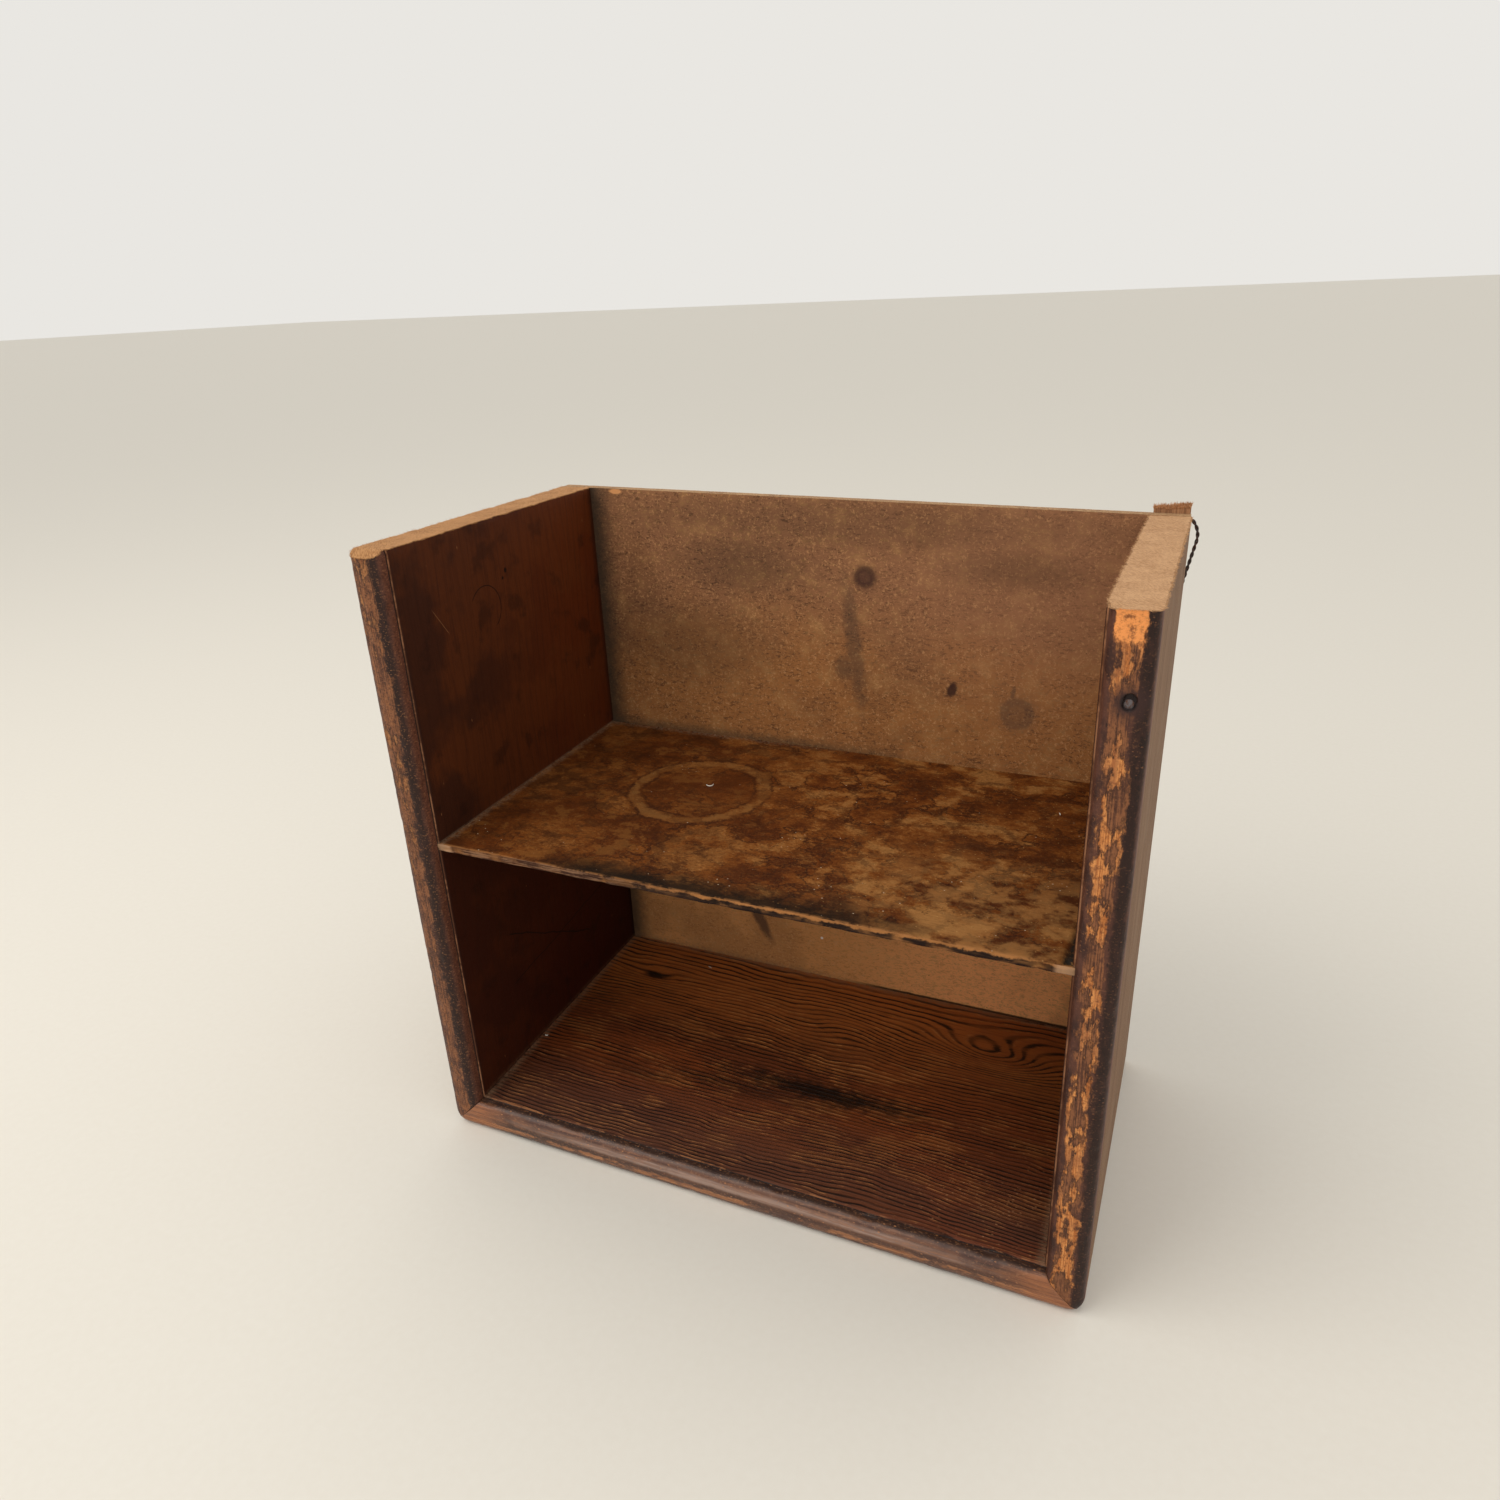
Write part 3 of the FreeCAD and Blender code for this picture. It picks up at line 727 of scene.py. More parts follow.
def section_rows(spacing):
    """Distances behind the crest of the section's rows."""
    nose = CREST_ROW + (NOSE_DEPTH - STEP_FRONT - CREST_ROW) * np.linspace(0, 1, 10) ** 1.7
    step = NOSE_DEPTH + np.array([-0.55, -0.3, -0.1, 0.02, 0.14, 0.35, 0.8, 1.6])
    rows = int((DEPTH - NOSE_DEPTH - STEP_REAR) / spacing) + 1
    body = np.linspace(NOSE_DEPTH + STEP_REAR, DEPTH, rows)
    return np.concatenate([nose, step, body])


def nosed_board(row_spacing, run_cells, follow):
    """The skin of a nosed board. follow turns inset, back and share of the
    run into points. Gives points, quads, sides, the lattice and the distance
    round the nose from its inner groove."""
    rows = section_rows(row_spacing)
    low = inner_flank(rows)
    high = outer_flank(rows)
    lattice, quads, sides = shell_of_block((CREST_COLUMNS, len(rows) - 1, run_cells))
    column = lattice[:, 0] / CREST_COLUMNS
    row = lattice[:, 1]
    inset = low[row] + (high[row] - low[row]) * column
    back = np.where(row == 0, crest_back(inset), rows[row])
    points = follow(inset, back, lattice[:, 2] / run_cells)

    groove = int(np.argmin(np.abs(rows - NOSE_DEPTH)))
    inner_run = np.concatenate([[0], np.cumsum(np.hypot(np.diff(low), np.diff(rows)))])
    inner_run = inner_run[groove] - inner_run
    crest = low[0] + (high[0] - low[0]) * np.linspace(0, 1, CREST_COLUMNS + 1)
    crest_run = np.concatenate(
        [[0], np.cumsum(np.hypot(np.diff(crest), np.diff(crest_back(crest))))])
    crest_run = crest_run + inner_run[0]
    outer_run = np.concatenate([[0], np.cumsum(np.hypot(np.diff(high), np.diff(rows)))])
    outer_run = outer_run + crest_run[-1]
    around = np.where(lattice[:, 0] == CREST_COLUMNS, outer_run[row], inner_run[row])
    around = np.where(row == 0, crest_run[lattice[:, 0]], around)
    return points, quads, sides, lattice, around


def side_run(front_top, rear_top, direction, chipped):
    """How a side board runs from its mitre, round the corner and up."""
    flat_inset = BOARD - CORNER_RADIUS

    def follow(inset, back, share):
        top = front_top + (rear_top - front_top) * back / DEPTH
        if chipped:
            top = top - CHIP_DROP * np.clip(1 - back / CHIP_LENGTH, 0, 1)
        radius = np.maximum(inset - flat_inset, 0)
        arc = radius * math.pi / 4
        start = np.where(inset > flat_inset, CORNER_RADIUS, BOARD - inset)
        run = (arc + top - start) * share
        turn = math.pi / 4 * (1 - np.clip(run / np.maximum(arc, 1e-9), 0, 1))
        bent = (run < arc) & (radius > 0)
        x = np.where(bent, HALF_WIDTH - CORNER_RADIUS + radius * np.cos(turn), INNER_X + inset)
        z = np.where(bent, CORNER_RADIUS - radius * np.sin(turn), start + run - arc)
        return np.stack([direction * x, FRONT_Y + back, z], 1)
    return follow


def bottom_run(inset, back, share):
    """How the bottom board runs from its left mitre to its right one."""
    flat_inset = BOARD - CORNER_RADIUS
    radius = np.maximum(inset - flat_inset, 0)
    arc = radius * math.pi / 4
    half = np.where(inset > flat_inset, HALF_WIDTH - CORNER_RADIUS, INNER_X + inset)
    run = (arc + half) * np.abs(2 * share - 1)
    turn = math.pi / 4 * np.clip((run - half) / np.maximum(arc, 1e-9), 0, 1)
    bent = (run > half) & (radius > 0)
    x = np.where(bent, HALF_WIDTH - CORNER_RADIUS + radius * np.sin(turn), run)
    z = np.where(bent, CORNER_RADIUS - radius * np.cos(turn), BOARD - inset)
    return np.stack([np.sign(share - 0.5) * x, FRONT_Y + back, z], 1)


def nose_wear(points, around, seed):
    """Dents and rubbed places on a nose, in millimetres of depth."""
    on_nose = np.clip(around / 2, 0, 1) * np.clip((NOSE_ROUND - around) / 2, 0, 1)
    dents = (0.55 * bump_over(ripple(points, 7, seed), 0.35)
             + 0.3 * bump_over(ripple(points, 3, seed + 1), 0.3))
    rubbed = 0.16 + 0.14 * ripple(points, 22, seed + 2) + 0.05 * ripple(points, 1.9, seed + 3)
    return on_nose * (dents + rubbed)


def arris_wear(points, around, seed):
    """Small breaks along the arris beside the nose's groove."""
    near = np.exp(-((around + 0.5) / 0.7) ** 2)
    return near * (0.12 + 0.5 * bump_over(ripple(points, 5, seed), 0.3))


def cut_end(points, lattice, run_cells, seed):
    """Drop of the rough saw cut at a board's top, with a splintered rim."""
    at_top = lattice[:, 2] == run_cells
    rim = (lattice[:, 0] == 0) | (lattice[:, 0] == CREST_COLUMNS) | (lattice[:, 1] == 0)
    rough = 0.16 + 0.1 * ripple(points, 1.6, seed) + 0.08 * ripple(points, 9, seed + 1)
    rough = rough + np.where(rim, 0.5 * bump_over(ripple(points, 2.4, seed + 2), 0.15), 0)
    return np.where(at_top, rough, 0)


def notch_rim(points, lattice, run_cells, direction, seed):
    """Pull the saw cut's rim in where the saw tore splinters away."""
    bite = (0.15 + 0.85 * bump_over(ripple(points, 2.6, seed), 0.0)
            + 0.25 * ripple(points, 1.0, seed + 1))
    bite = np.clip(bite, 0, 1.1)
    for rows_down, share in ((0, 1.0), (1, 0.35)):
        level = lattice[:, 2] == run_cells - rows_down
        inner = level & (lattice[:, 0] == 0)
        outer = level & (lattice[:, 0] == CREST_COLUMNS)
        front = level & (lattice[:, 1] == 0)
        points[inner, 0] += direction * share * bite[inner]
        points[outer, 0] -= direction * share * bite[outer]
        points[front, 1] += share * bite[front]


SIDE_RUN_CELLS = 240
SIDE_ROW_SPACING = 2.6
FACE, NOSE, CUT, HIDDEN = range(4)   # the finishes of a nosed board


def board_slots(quads, sides, around, ends):
    """Which finish each face of a nosed board has: face, nose, saw cut or hidden wood."""
    slots = np.array([NOSE, NOSE, NOSE, HIDDEN, *ends])[sides]
    flat = (sides == 0) & (around[quads].mean(1) < 0)
    return np.where(flat, FACE, slots).astype(np.int32)


NAIL_SEAT = 2.15
PUNCH_RADIUS = 2.7


def seat_front_nail(mesh):
    """The punched hollow over the old nail in the right nose."""
    low, high = corners_mm("front_nail")
    middle = (low + high) / 2
    seat_depth = low[1] - FRONT_Y

    def hollow(a, b):
        hole = seat_depth * step_down(math.hypot(a, b), NAIL_SEAT, 0.5)
        punched = 1.25 * step_down(math.hypot(a - 0.5, b - 2.0), PUNCH_RADIUS - 0.5, 1.1)
        rim = -0.1 * step_down(abs(math.hypot(a, b - 0.9) - 3.4), 0.3, 0.8)
        return max(hole, punched) + rim
    sink(mesh, (middle[0], FRONT_Y + 0.2, middle[2]), 2, 5.0, hollow)


def side_board(name, direction, chipped, seed, finishes):
    """One side board, with its mitre, its nose and its sawn top."""
    front_top = top_at(name, FRONT_Y + NOSE_BAND, 4.0)
    rear_top = top_at(name, REAR_Y)
    follow = side_run(front_top, rear_top, direction, chipped)
    points, quads, sides, lattice, around = nosed_board(SIDE_ROW_SPACING, SIDE_RUN_CELLS, follow)
    points[:, 2] -= cut_end(points, lattice, SIDE_RUN_CELLS, seed + 20)
    notch_rim(points, lattice, SIDE_RUN_CELLS, direction, seed + 30)
    mesh = board_mesh(name + "_board", points, quads)
    flat = 0.05 + 0.04 * ripple(points * (1, 1, 0.15), 6, seed + 5)
    depth = np.where(around < 0, flat, 0.03) + nose_wear(points, around, seed)
    depth = depth + arris_wear(points, around, seed + 9)
    inside = (lattice[:, 2] > 0) & (lattice[:, 2] < SIDE_RUN_CELLS)
    press_in(mesh, np.where(inside, depth, depth * 0.5))
    keep_value(mesh, "around", around)
    mesh.polygons.foreach_set("material_index", board_slots(quads, sides, around, [HIDDEN, CUT]))
    if direction > 0:
        seat_front_nail(mesh)
    at_top = lattice[:, 2] == SIDE_RUN_CELLS
    rims = []
    for column, sign in ((0, -1), (CREST_COLUMNS, 1)):
        rim = points[at_top & (lattice[:, 0] == column)]
        rims.append((rim[np.argsort(rim[:, 1])], (sign * direction * 0.9, 0.0, 0.35)))
    front = points[at_top & (lattice[:, 1] == 0)]
    rims.append((front[np.argsort(front[:, 0])], (0.0, -0.9, 0.3)))
    place_piece(name + "_board", mesh, [name], finishes)
    return rims


BOTTOM_RUN_CELLS = 150
BOTTOM_ROW_SPACING = 0.95
RING_SPACING = 2.9
FIGURE_EYE = (100, 52)
FIGURE_KNOT = (-119, 53)


def bottom_rings(points):
    """Growth rings of the bottom board: long wandering lines, an eye and a knot."""
    x, y = points[:, 0], points[:, 1]
    wander = (5.5 * ripple(points * (0.45, 1, 1), 42, 71)
              + 1.8 * ripple(points * (0.5, 1, 1), 17, 72))
    wander = wander + 0.8 * ripple(points * (0.8, 1, 1), 8, 73)
    eye_x, eye_y = x - FIGURE_EYE[0], y - FIGURE_EYE[1]
    eye = 24.0 * np.exp(-(eye_x / 33) ** 2 - ((eye_y + 0.12 * eye_x) / 15) ** 2)
    knot = 7.0 * np.exp(-((x - FIGURE_KNOT[0]) / 22) ** 2 - ((y - FIGURE_KNOT[1]) / 8) ** 2)
    waves = 3.6 * np.exp(-((x - 20) / 60) ** 2 - ((y - 40) / 26) ** 2) * np.sin(x / 12 + y / 14)
    share = (y - FRONT_Y + wander + eye + knot + waves) / DEPTH
    return DEPTH / RING_SPACING * share * (1.35 - 0.35 * share) + 8


def bottom_board(finishes):
    """The bottom board, its soft wood worn lower than its hard rings."""
    points, quads, sides, lattice, around = nosed_board(
        BOTTOM_ROW_SPACING, BOTTOM_RUN_CELLS, bottom_run)
    mesh = board_mesh("bottom_board_piece", points, quads)
    rings = bottom_rings(points)
    phase = rings - np.floor(rings)
    ridge = np.exp(-((phase - 0.72) / 0.16) ** 2)
    upper = (lattice[:, 0] == 0) & (around < -1.2)
    worn = (0.05 + 0.3 * (1 - ridge) * (0.65 + 0.35 * ripple(points, 18, 31))
            + 0.05 * ripple(points, 2.2, 32))
    depth = np.where(upper, worn, 0.05) + nose_wear(points, around, 40)
    depth = depth + arris_wear(points, around, 49)
    press_in(mesh, depth)
    keep_value(mesh, "around", around)
    keep_value(mesh, "rings", rings)
    mesh.polygons.foreach_set("material_index", board_slots(quads, sides, around, [HIDDEN, HIDDEN]))
    for low, high in loose_boxes("corner_nails"):
        middle = (low + high) / 2
        sink(mesh, (middle[0], middle[1], 0.0), 3, 3.4,
             lambda a, b: (low[2] + 0.02) * step_down(math.hypot(a, b), 1.9, 0.4), cuts=5)
    place_piece("bottom_board_piece", mesh, ["bottom_board"], finishes)


# ---- the thin shelf and the back ----

def slab(name, low, high, counts, bend=None):
    """A thin board as a fine skin between two corners."""
    lattice, quads, sides = shell_of_block(counts)
    points = low + (high - low) * lattice / np.array(counts)
    if bend is not None:
        points = bend(points, lattice)
    return board_mesh(name, points, quads), points, lattice, sides


SHELF_CELLS = (220, 118, 6)
PANEL_CELLS = (230, 3, 210)
BATTEN_CELLS = (34, 12, 90)


def middle_shelf(finishes):
    """The thin shelf, its front edge rubbed and broken."""
    counts = SHELF_CELLS
    mesh, points, lattice, _ = slab("middle_shelf_piece", shelf_low, shelf_high, counts)
    top = lattice[:, 2] == counts[2]
    front = np.clip(1 - (points[:, 1] - shelf_low[1]) / 4.0, 0, 1)
    up = np.clip((points[:, 2] - shelf_low[2]) / (shelf_high[2] - shelf_low[2]), 0, 1)
    worn = 0.06 + 0.05 * ripple(points * (0.25, 1, 1), 5, 51) + 0.03 * ripple(points, 2, 52)
    arris = (front ** 3 * (0.25 + 0.75 * bump_over(ripple(points, 4.5, 53), 0.1))
             * np.where(top, 1, 0.55))
    edge = np.where(lattice[:, 1] == 0, 0.28 + 0.22 * ripple(points * (0.5, 1, 2.2), 3, 54), 0)
    press_in(mesh, worn + arris + edge)
    co = at_points(mesh, "co")
    inset = INNER_X - points[:, 0]
    reach = np.clip((-26 - points[:, 1]) / 58, 0, 1) * 5.2
    broken = (np.clip((reach - inset) / 1.2, 0, 1)
              * np.clip((points[:, 1] - shelf_low[1] - 1) / 3, 0, 1))
    co[:, 2] -= MM * broken * up * (1.5 + 0.9 * ripple(points, 2.6, 55))
    mesh.vertices.foreach_set("co", co.ravel())
    keep_value(mesh, "broken", broken)
    place_piece("middle_shelf_piece", mesh, ["middle_shelf"], finishes)


def back_panel(finishes):
    """The fibre board back, its upper edge sawn on the same slant as the sides."""
    counts = PANEL_CELLS
    left_top = top_at("left_side", REAR_Y)
    right_top = top_at("right_side", REAR_Y)

    def slant(points, lattice):
        share = (points[:, 0] - panel_low[0]) / (panel_high[0] - panel_low[0])
        top = left_top + (right_top - left_top) * share
        points[:, 2] = panel_low[2] + (top - panel_low[2]) * lattice[:, 2] / counts[2]
        return points
    mesh, points, lattice, sides = slab("back_panel_piece", panel_low, panel_high, counts, slant)
    at_top = lattice[:, 2] == counts[2]
    depth = 0.05 + 0.03 * ripple(points, 4, 61) + 0.02 * ripple(points, 30, 62)
    depth = depth + np.where(at_top, 0.1 + 0.14 * np.abs(ripple(points, 1.7, 63)), 0)
    press_in(mesh, depth)
    rust = np.zeros(len(points))
    for low, high in loose_boxes("back_panel_brads") + loose_boxes("batten_nails"):
        middle = (low + high) / 2
        away = np.hypot(points[:, 0] - middle[0], points[:, 2] - middle[2])
        rust = np.maximum(rust, np.exp(-(away / 3.2) ** 2))
    keep_value(mesh, "rust", rust)
    slots = np.array([1, 1, 0, 2, 1, 1])[sides]
    mesh.polygons.foreach_set("material_index", slots.astype(np.int32))
    place_piece("back_panel_piece", mesh, ["back_panel"], finishes)


# ---- battens and crumbs ----

def batten(name, node, seed, finishes):
    """A short rough batten with a torn top."""
    low, high = corners_mm(node)
    counts = BATTEN_CELLS
    mesh, points, lattice, _ = slab(name, low, high, counts)
    top = lattice[:, 2] == counts[2]
    column = points * (1, 1, 0)
    torn = (2.6 * bump_over(ripple(column, 4.2, seed), -0.5)
            + 1.3 * bump_over(ripple(column, 1.1, seed + 1), -0.2))
    rough = (0.1 + 0.08 * ripple(points * (1, 1, 0.12), 1.3, seed + 2)
             + 0.06 * ripple(points, 9, seed + 3))
    press_in(mesh, np.where(top, 0, rough))
    co = at_points(mesh, "co")
    near_top = np.clip((lattice[:, 2] - counts[2] + 6) / 6, 0, 1)
    co[:, 2] -= MM * torn * near_top ** 2
    mesh.vertices.foreach_set("co", co.ravel())
    place_piece(name, mesh, [node], finishes)
    rows, leans = [], []
    for index in range(0, counts[1] + 1, 2):
        row = top & (lattice[:, 1] == index)
        line = co[row][np.argsort(points[row, 0])] / MM
        rows.append(line - (0, 0, 0.3))
        away = (2 * index / counts[1] - 1) * 0.5
        leans.append(np.tile((0.0, away, 1.0), (len(line), 1)))
    rim_fibres(name + "_torn_top", rows, leans, finishes[1], seed, 70, 2.0, 0.24, 0.5)


# Each curl: the board it lies on, its place, length, heading and bend.
CURLS = (("middle_shelf", -54.5, 22.9, 5.6, 0.5, 2.3),
         ("middle_shelf", 131.0, 47.4, 2.6, 1.9, 1.4),
         ("bottom_board", -158.0, -25.3, 2.4, 0.3, 2.6),
         ("bottom_board", -88.7, 72.7, 3.2, 2.7, 1.8))


def pale_curls(finish):
    """A few pale wood curls left lying on the boards."""
    paths, radii = [], []
    for node, x, y, length, heading, bend in CURLS:
        x = max(min(x, INNER_X - 3), 3 - INNER_X)
        floor = SHELF_TOP if node == "middle_shelf" else BOARD
        share = np.linspace(-0.5, 0.5, 12)
        turn = heading + bend * share
        steps = np.stack([np.cos(turn), np.sin(turn), np.zeros(12)], 1) * length / 12
        path = np.array([x, y, floor + 0.15]) + np.cumsum(steps, 0) - steps.sum(0) / 2
        path[:, 2] += 0.5 * np.abs(2 * share) ** 2
        paths.append(path)
        radii.append(0.34 * (1 - 0.7 * np.abs(2 * share) ** 3))
    lines = paths_mesh("pale_curls", paths, thickness=np.concatenate(radii) * MM)
    mesh = ROD.grow("pale_curls", lines, finish, Sides=STRAND_SIDES)
    place_piece("pale_curls", mesh, [], [])


# ---- finishes of the boards ----

def wood_fibres(finish, along, seed, across=0.55, length=26.0):
    """Fine fibre lines that run along one axis."""
    sizes = [across, across, across]
    sizes[along] = length
    return finish.mottle(tuple(sizes), seed, detail=4.0, rough=0.6)


def bare_edge(finish, seed, along):
    """Grey weathered wood of an outer face that was never varnished."""
    fibres = wood_fibres(finish, along, seed, 0.42, 75.0)
    streaks = wood_fibres(finish, along, seed + 2, 3.4, 170.0)
    dust = finish.mottle(24.0, seed + 4)
    colour = finish.lay(tint(106, 76, 54), tint(156, 124, 96), finish.between(fibres, 0.34, 0.7))
    colour = finish.lay(colour, tint(88, 54, 36), finish.between(streaks, 0.48, 0.64) * 0.5)
    colour = finish.lay(colour, tint(146, 122, 100), finish.between(dust, 0.5, 0.65) * 0.3)
    return colour


def side_face(name, seed, direction):
    """Old dark varnish over a side's inner face: brown in front, deep red towards the wall."""
    f = Finish(name)
    around = f.stored("around")
    fibres = wood_fibres(f, 2, seed)
    cloud = f.mottle(55.0, seed + 1, detail=4.0)
    patch = f.mottle(16.0, seed + 2, detail=5.0)
    fleck = f.mottle(3.2, seed + 3, detail=4.0, rough=0.65)
    warm = f.between(f.y, -50.0, 75.0)
    low_bay = f.between(f.z, SHELF_TOP + 2, SHELF_UNDERSIDE - 6)
    colour = f.lay(tint(58, 28, 15), tint(90, 38, 11), warm)
    colour = f.lay(colour, tint(92, 44, 16),
                   f.between(cloud + 0.3 * (patch - 0.5), 0.45, 0.58) * 0.55)
    colour = f.lay(colour, tint(54, 17, 7), low_bay * (0.6 + 0.4 * warm))
    figure = f.math("SINE", (f.y + 30 * f.mottle((30.0, 34.0, 120.0), seed + 6, detail=1.0)) * 0.95)
    colour = f.lay(colour, tint(40, 17, 9), f.between(figure, 0.6, 1.0) * 0.16)
    colour = f.lay(colour, tint(46, 20, 11), f.between(fibres, 0.5, 0.66) * 0.45)
    colour = f.lay(colour, tint(30, 13, 8), f.between(patch, 0.54, 0.68) * 0.45)
    scuffs = f.between(f.cells((9.0, 6.0, 22.0), seed + 5), 0.05, 0.02)
    colour = f.lay(colour, tint(176, 120, 76), scuffs * 0.5)
    if direction < 0:
        bend = (f.mottle(20.0, seed + 7) - 0.5) * 5
        hair = f.stroke(f.y, f.z, (-42, 102), (38, 56), 0.6, bend)
        hair = f.most(hair, f.stroke(f.y, f.z, (-44, 68), (74, 82), 0.45, bend))
        hook = (f.ring(f.y, f.z, (-20, 287), 12.5, 0.4, bend * 0.4)
                * f.between(f.y + f.z, 262.0, 266.0))
        colour = f.lay(colour, tint(14, 6, 4), f.most(hair, hook) * 0.9)
        scratch = f.stroke(f.y, f.z, (-61, 298), (-51, 283), 0.2)
        colour = f.lay(colour, tint(170, 120, 80), scratch * 0.45)
        pits = f.most(f.spot(f.y, f.z, (0, 303), (1.1, 1.4)),
                      f.spot(f.y, f.z, (-3, 299.5), (0.8, 0.9)))
        colour = f.lay(colour, tint(14, 7, 5), pits * 0.9)
    colour = f.lay(colour, tint(26, 15, 10), f.between(f.y, REAR_Y - 5, REAR_Y - 0.5) * 0.6)
    dust_line = f.between(f.z, BOARD + 3.5, BOARD + 0.3) * f.between(fleck, 0.35, 0.6)
    colour = f.lay(colour, tint(112, 84, 62), dust_line * 0.45)
    seam = f.near(f.z - SHELF_TOP, 1.1, 0.4) * f.between(fleck, 0.3, 0.5)
    colour = f.lay(colour, tint(120, 98, 78), seam * f.between(f.y, -86.0, -84.0) * 0.5)
    # A pale broken line along the arris: rubbed wood with a painted highlight.
    broken_line = f.between(fleck * 0.5 + patch, 0.66, 0.84)
    arris = f.near(around + 0.5, 0.55, 0.15)
    colour = f.lay(colour, tint(150, 104, 74), arris * (0.25 + 0.75 * broken_line))
    colour = f.lay(colour, tint(34, 18, 12),
                   f.between(around, -3.2, -1.2) * f.between(around, -0.8, -1.4) * 0.5)
    relief = 0.5 * fibres + 0.25 * fleck + 0.3 * patch
    return f.done(colour, 0.46 + 0.25 * fleck, relief, 0.25, specular=0.13)


def side_nose(name, seed, worn, reddish_inner):
    """A side's nose: varnish, a dark band, and bare wood where hands wore it through.
    Distances in worn run across the nose from its crest, outwards positive."""
    f = Finish(name)
    around = f.stored("around")
    over = around - CREST_ROUND
    fibres = wood_fibres(f, 2, seed)
    patch = f.mottle((7.0, 7.0, 14.0), seed + 2, detail=5.0)
    fleck = f.mottle(2.2, seed + 3, detail=4.0, rough=0.65)
    ragged = f.mottle((4.0, 4.0, 8.0), seed + 4, detail=6.0, rough=0.7) - 0.5
    sway = f.mottle((30.0, 30.0, 38.0), seed + 8, detail=2.0) - 0.5
    blotch = f.mottle((4.2, 4.2, 12.0), seed + 9, detail=6.0, rough=0.62)

    colour = f.lay(tint(86, 52, 40), tint(58, 34, 28), f.between(patch + ragged * 0.4, 0.42, 0.6))
    if reddish_inner:
        inner = f.between(over + 5 * ragged, *reddish_inner)
        colour = f.lay(colour, tint(98, 58, 42), inner * f.between(patch, 0.3, 0.5) * 0.8)
    # A dark band across the nose, set by distances from its crest.
    dark_band = (f.between(over + 7 * ragged, *worn["dark_band_in"])
             * f.between(over + 7 * ragged, *worn["dark_band_out"]))
    dark_band_tone = f.lay(tint(20, 11, 9), tint(50, 29, 22), f.between(patch + ragged, 0.46, 0.64))
    colour = f.lay(colour, dark_band_tone, dark_band * worn["dark_band"])
    off = f.math("ABSOLUTE", over - worn["middle"] + 7 * sway)
    reach = worn["half_width"] - off + 12 * ragged
    if "fades_below" in worn:
        fade = f.between(f.z, worn["fades_below"] + 50, worn["fades_below"] - 60)
        blotch = blotch - 0.13 * fade
        reach = reach - 1.5 * fade
    thin = f.between(reach, -0.6, 1.2)
    thinned = f.lay(tint(84, 50, 34), tint(142, 90, 56),
                    f.between(fibres + ragged * 0.8, 0.4, 0.58))
    colour = f.lay(colour, thinned, thin * 0.8)
    if "dark_places" in worn:
        for height, reach_up in worn["dark_places"]:
            blotch = blotch - 0.12 * f.near(f.z - height + 24 * sway, reach_up, 0.3 * reach_up)
    ground_in = blotch + 0.25 * (patch - 0.5)
    rimmed = thin * f.between(ground_in, worn["cover"] - 0.07, worn["cover"] - 0.02)
    colour = f.lay(colour, tint(34, 18, 12), rimmed * 0.6)
    bare = thin * f.between(ground_in, worn["cover"] - 0.03, worn["cover"] + 0.035)
    if "top" in worn:
        crown = f.between(f.z + 14 * ragged, worn["top"] - 12.5, worn["top"] - 10)
        crown = crown * f.between(off + 8 * ragged, worn["half_width"] + 1.6,
                                  worn["half_width"] + 0.6)
        bare = f.most(bare, crown)
    wood = f.lay(worn["wood"][0], worn["wood"][1], f.between(fibres, 0.38, 0.6))
    wood = f.lay(wood, tint(112, 64, 38), f.between(fleck + 0.6 * ragged, 0.5, 0.66) * 0.75)
    wood = f.lay(wood, tint(146, 92, 58), f.between(patch, 0.5, 0.6) * 0.6)
    if "top" in worn:
        wood = f.lay(wood, tint(234, 150, 84), crown * f.between(fleck, 0.7, 0.45))
    colour = f.lay(colour, wood, bare * f.between(blotch, 0.72, 0.62))
    nicks = (f.between(f.cells((2.6, 2.6, 1.5), seed + 10) + 0.5 * ragged, 0.2, 0.06)
             * f.between(patch, 0.44, 0.56))
    colour = f.lay(colour, tint(150, 98, 62), nicks * 0.5)
    pits = f.between(f.cells((3.0, 3.0, 7.0), seed + 11), 0.17, 0.08) * f.between(patch, 0.58, 0.46)
    colour = f.lay(colour, tint(26, 15, 12), pits * 0.8)
    grit = f.mottle((1.3, 1.3, 0.9), seed + 14, detail=4.0, rough=0.7)
    colour = f.lay(colour, tint(46, 27, 20), f.between(grit, 0.53, 0.62) * worn["grit"])
    colour = f.lay(colour, tint(170, 116, 76), f.between(grit, 0.43, 0.36) * worn["grit"] * 0.6)
    if "nail" in worn:
        x, z = worn["nail"]
        # Painted shade: a dark patch over the punched hollow and a darker spot in the nail hole.
        ring = f.spot(f.x, f.z - 0.8, (x, z), (6.0, 6.5), 0.5, ragged * 1.6)
        colour = f.lay(colour, tint(58, 36, 32), ring * 0.9)
        colour = f.lay(colour, tint(22, 14, 14),
                       f.spot(f.x, f.z - 0.9, (x, z), (2.9, 3.4), 0.2) * 0.9)
    colour = f.lay(colour, tint(20, 11, 9), f.between(around, 1.1, 0.4) * 0.85)

    outer = bare_edge(f, seed + 12, 2)
    red_line = f.near(around - NOSE_ROUND + 0.7 + 2.4 * ragged, 1.0, 0.3)
    colour = f.lay(colour, outer,
                   f.between(around + 1.5 * ragged, NOSE_ROUND - 0.2, NOSE_ROUND + 0.4))
    colour = f.lay(colour, tint(112, 60, 38), red_line * 0.8)
    off_nose = f.between(around, NOSE_ROUND, NOSE_ROUND + 1.0)
    roughness = 0.4 + 0.18 * fleck + 0.25 * bare + 0.3 * off_nose
    relief = 0.5 * fibres + 0.25 * fleck - 0.6 * bare - 0.5 * nicks + 0.3 * patch
    return f.done(colour, roughness, relief, 0.25, specular=0.22)


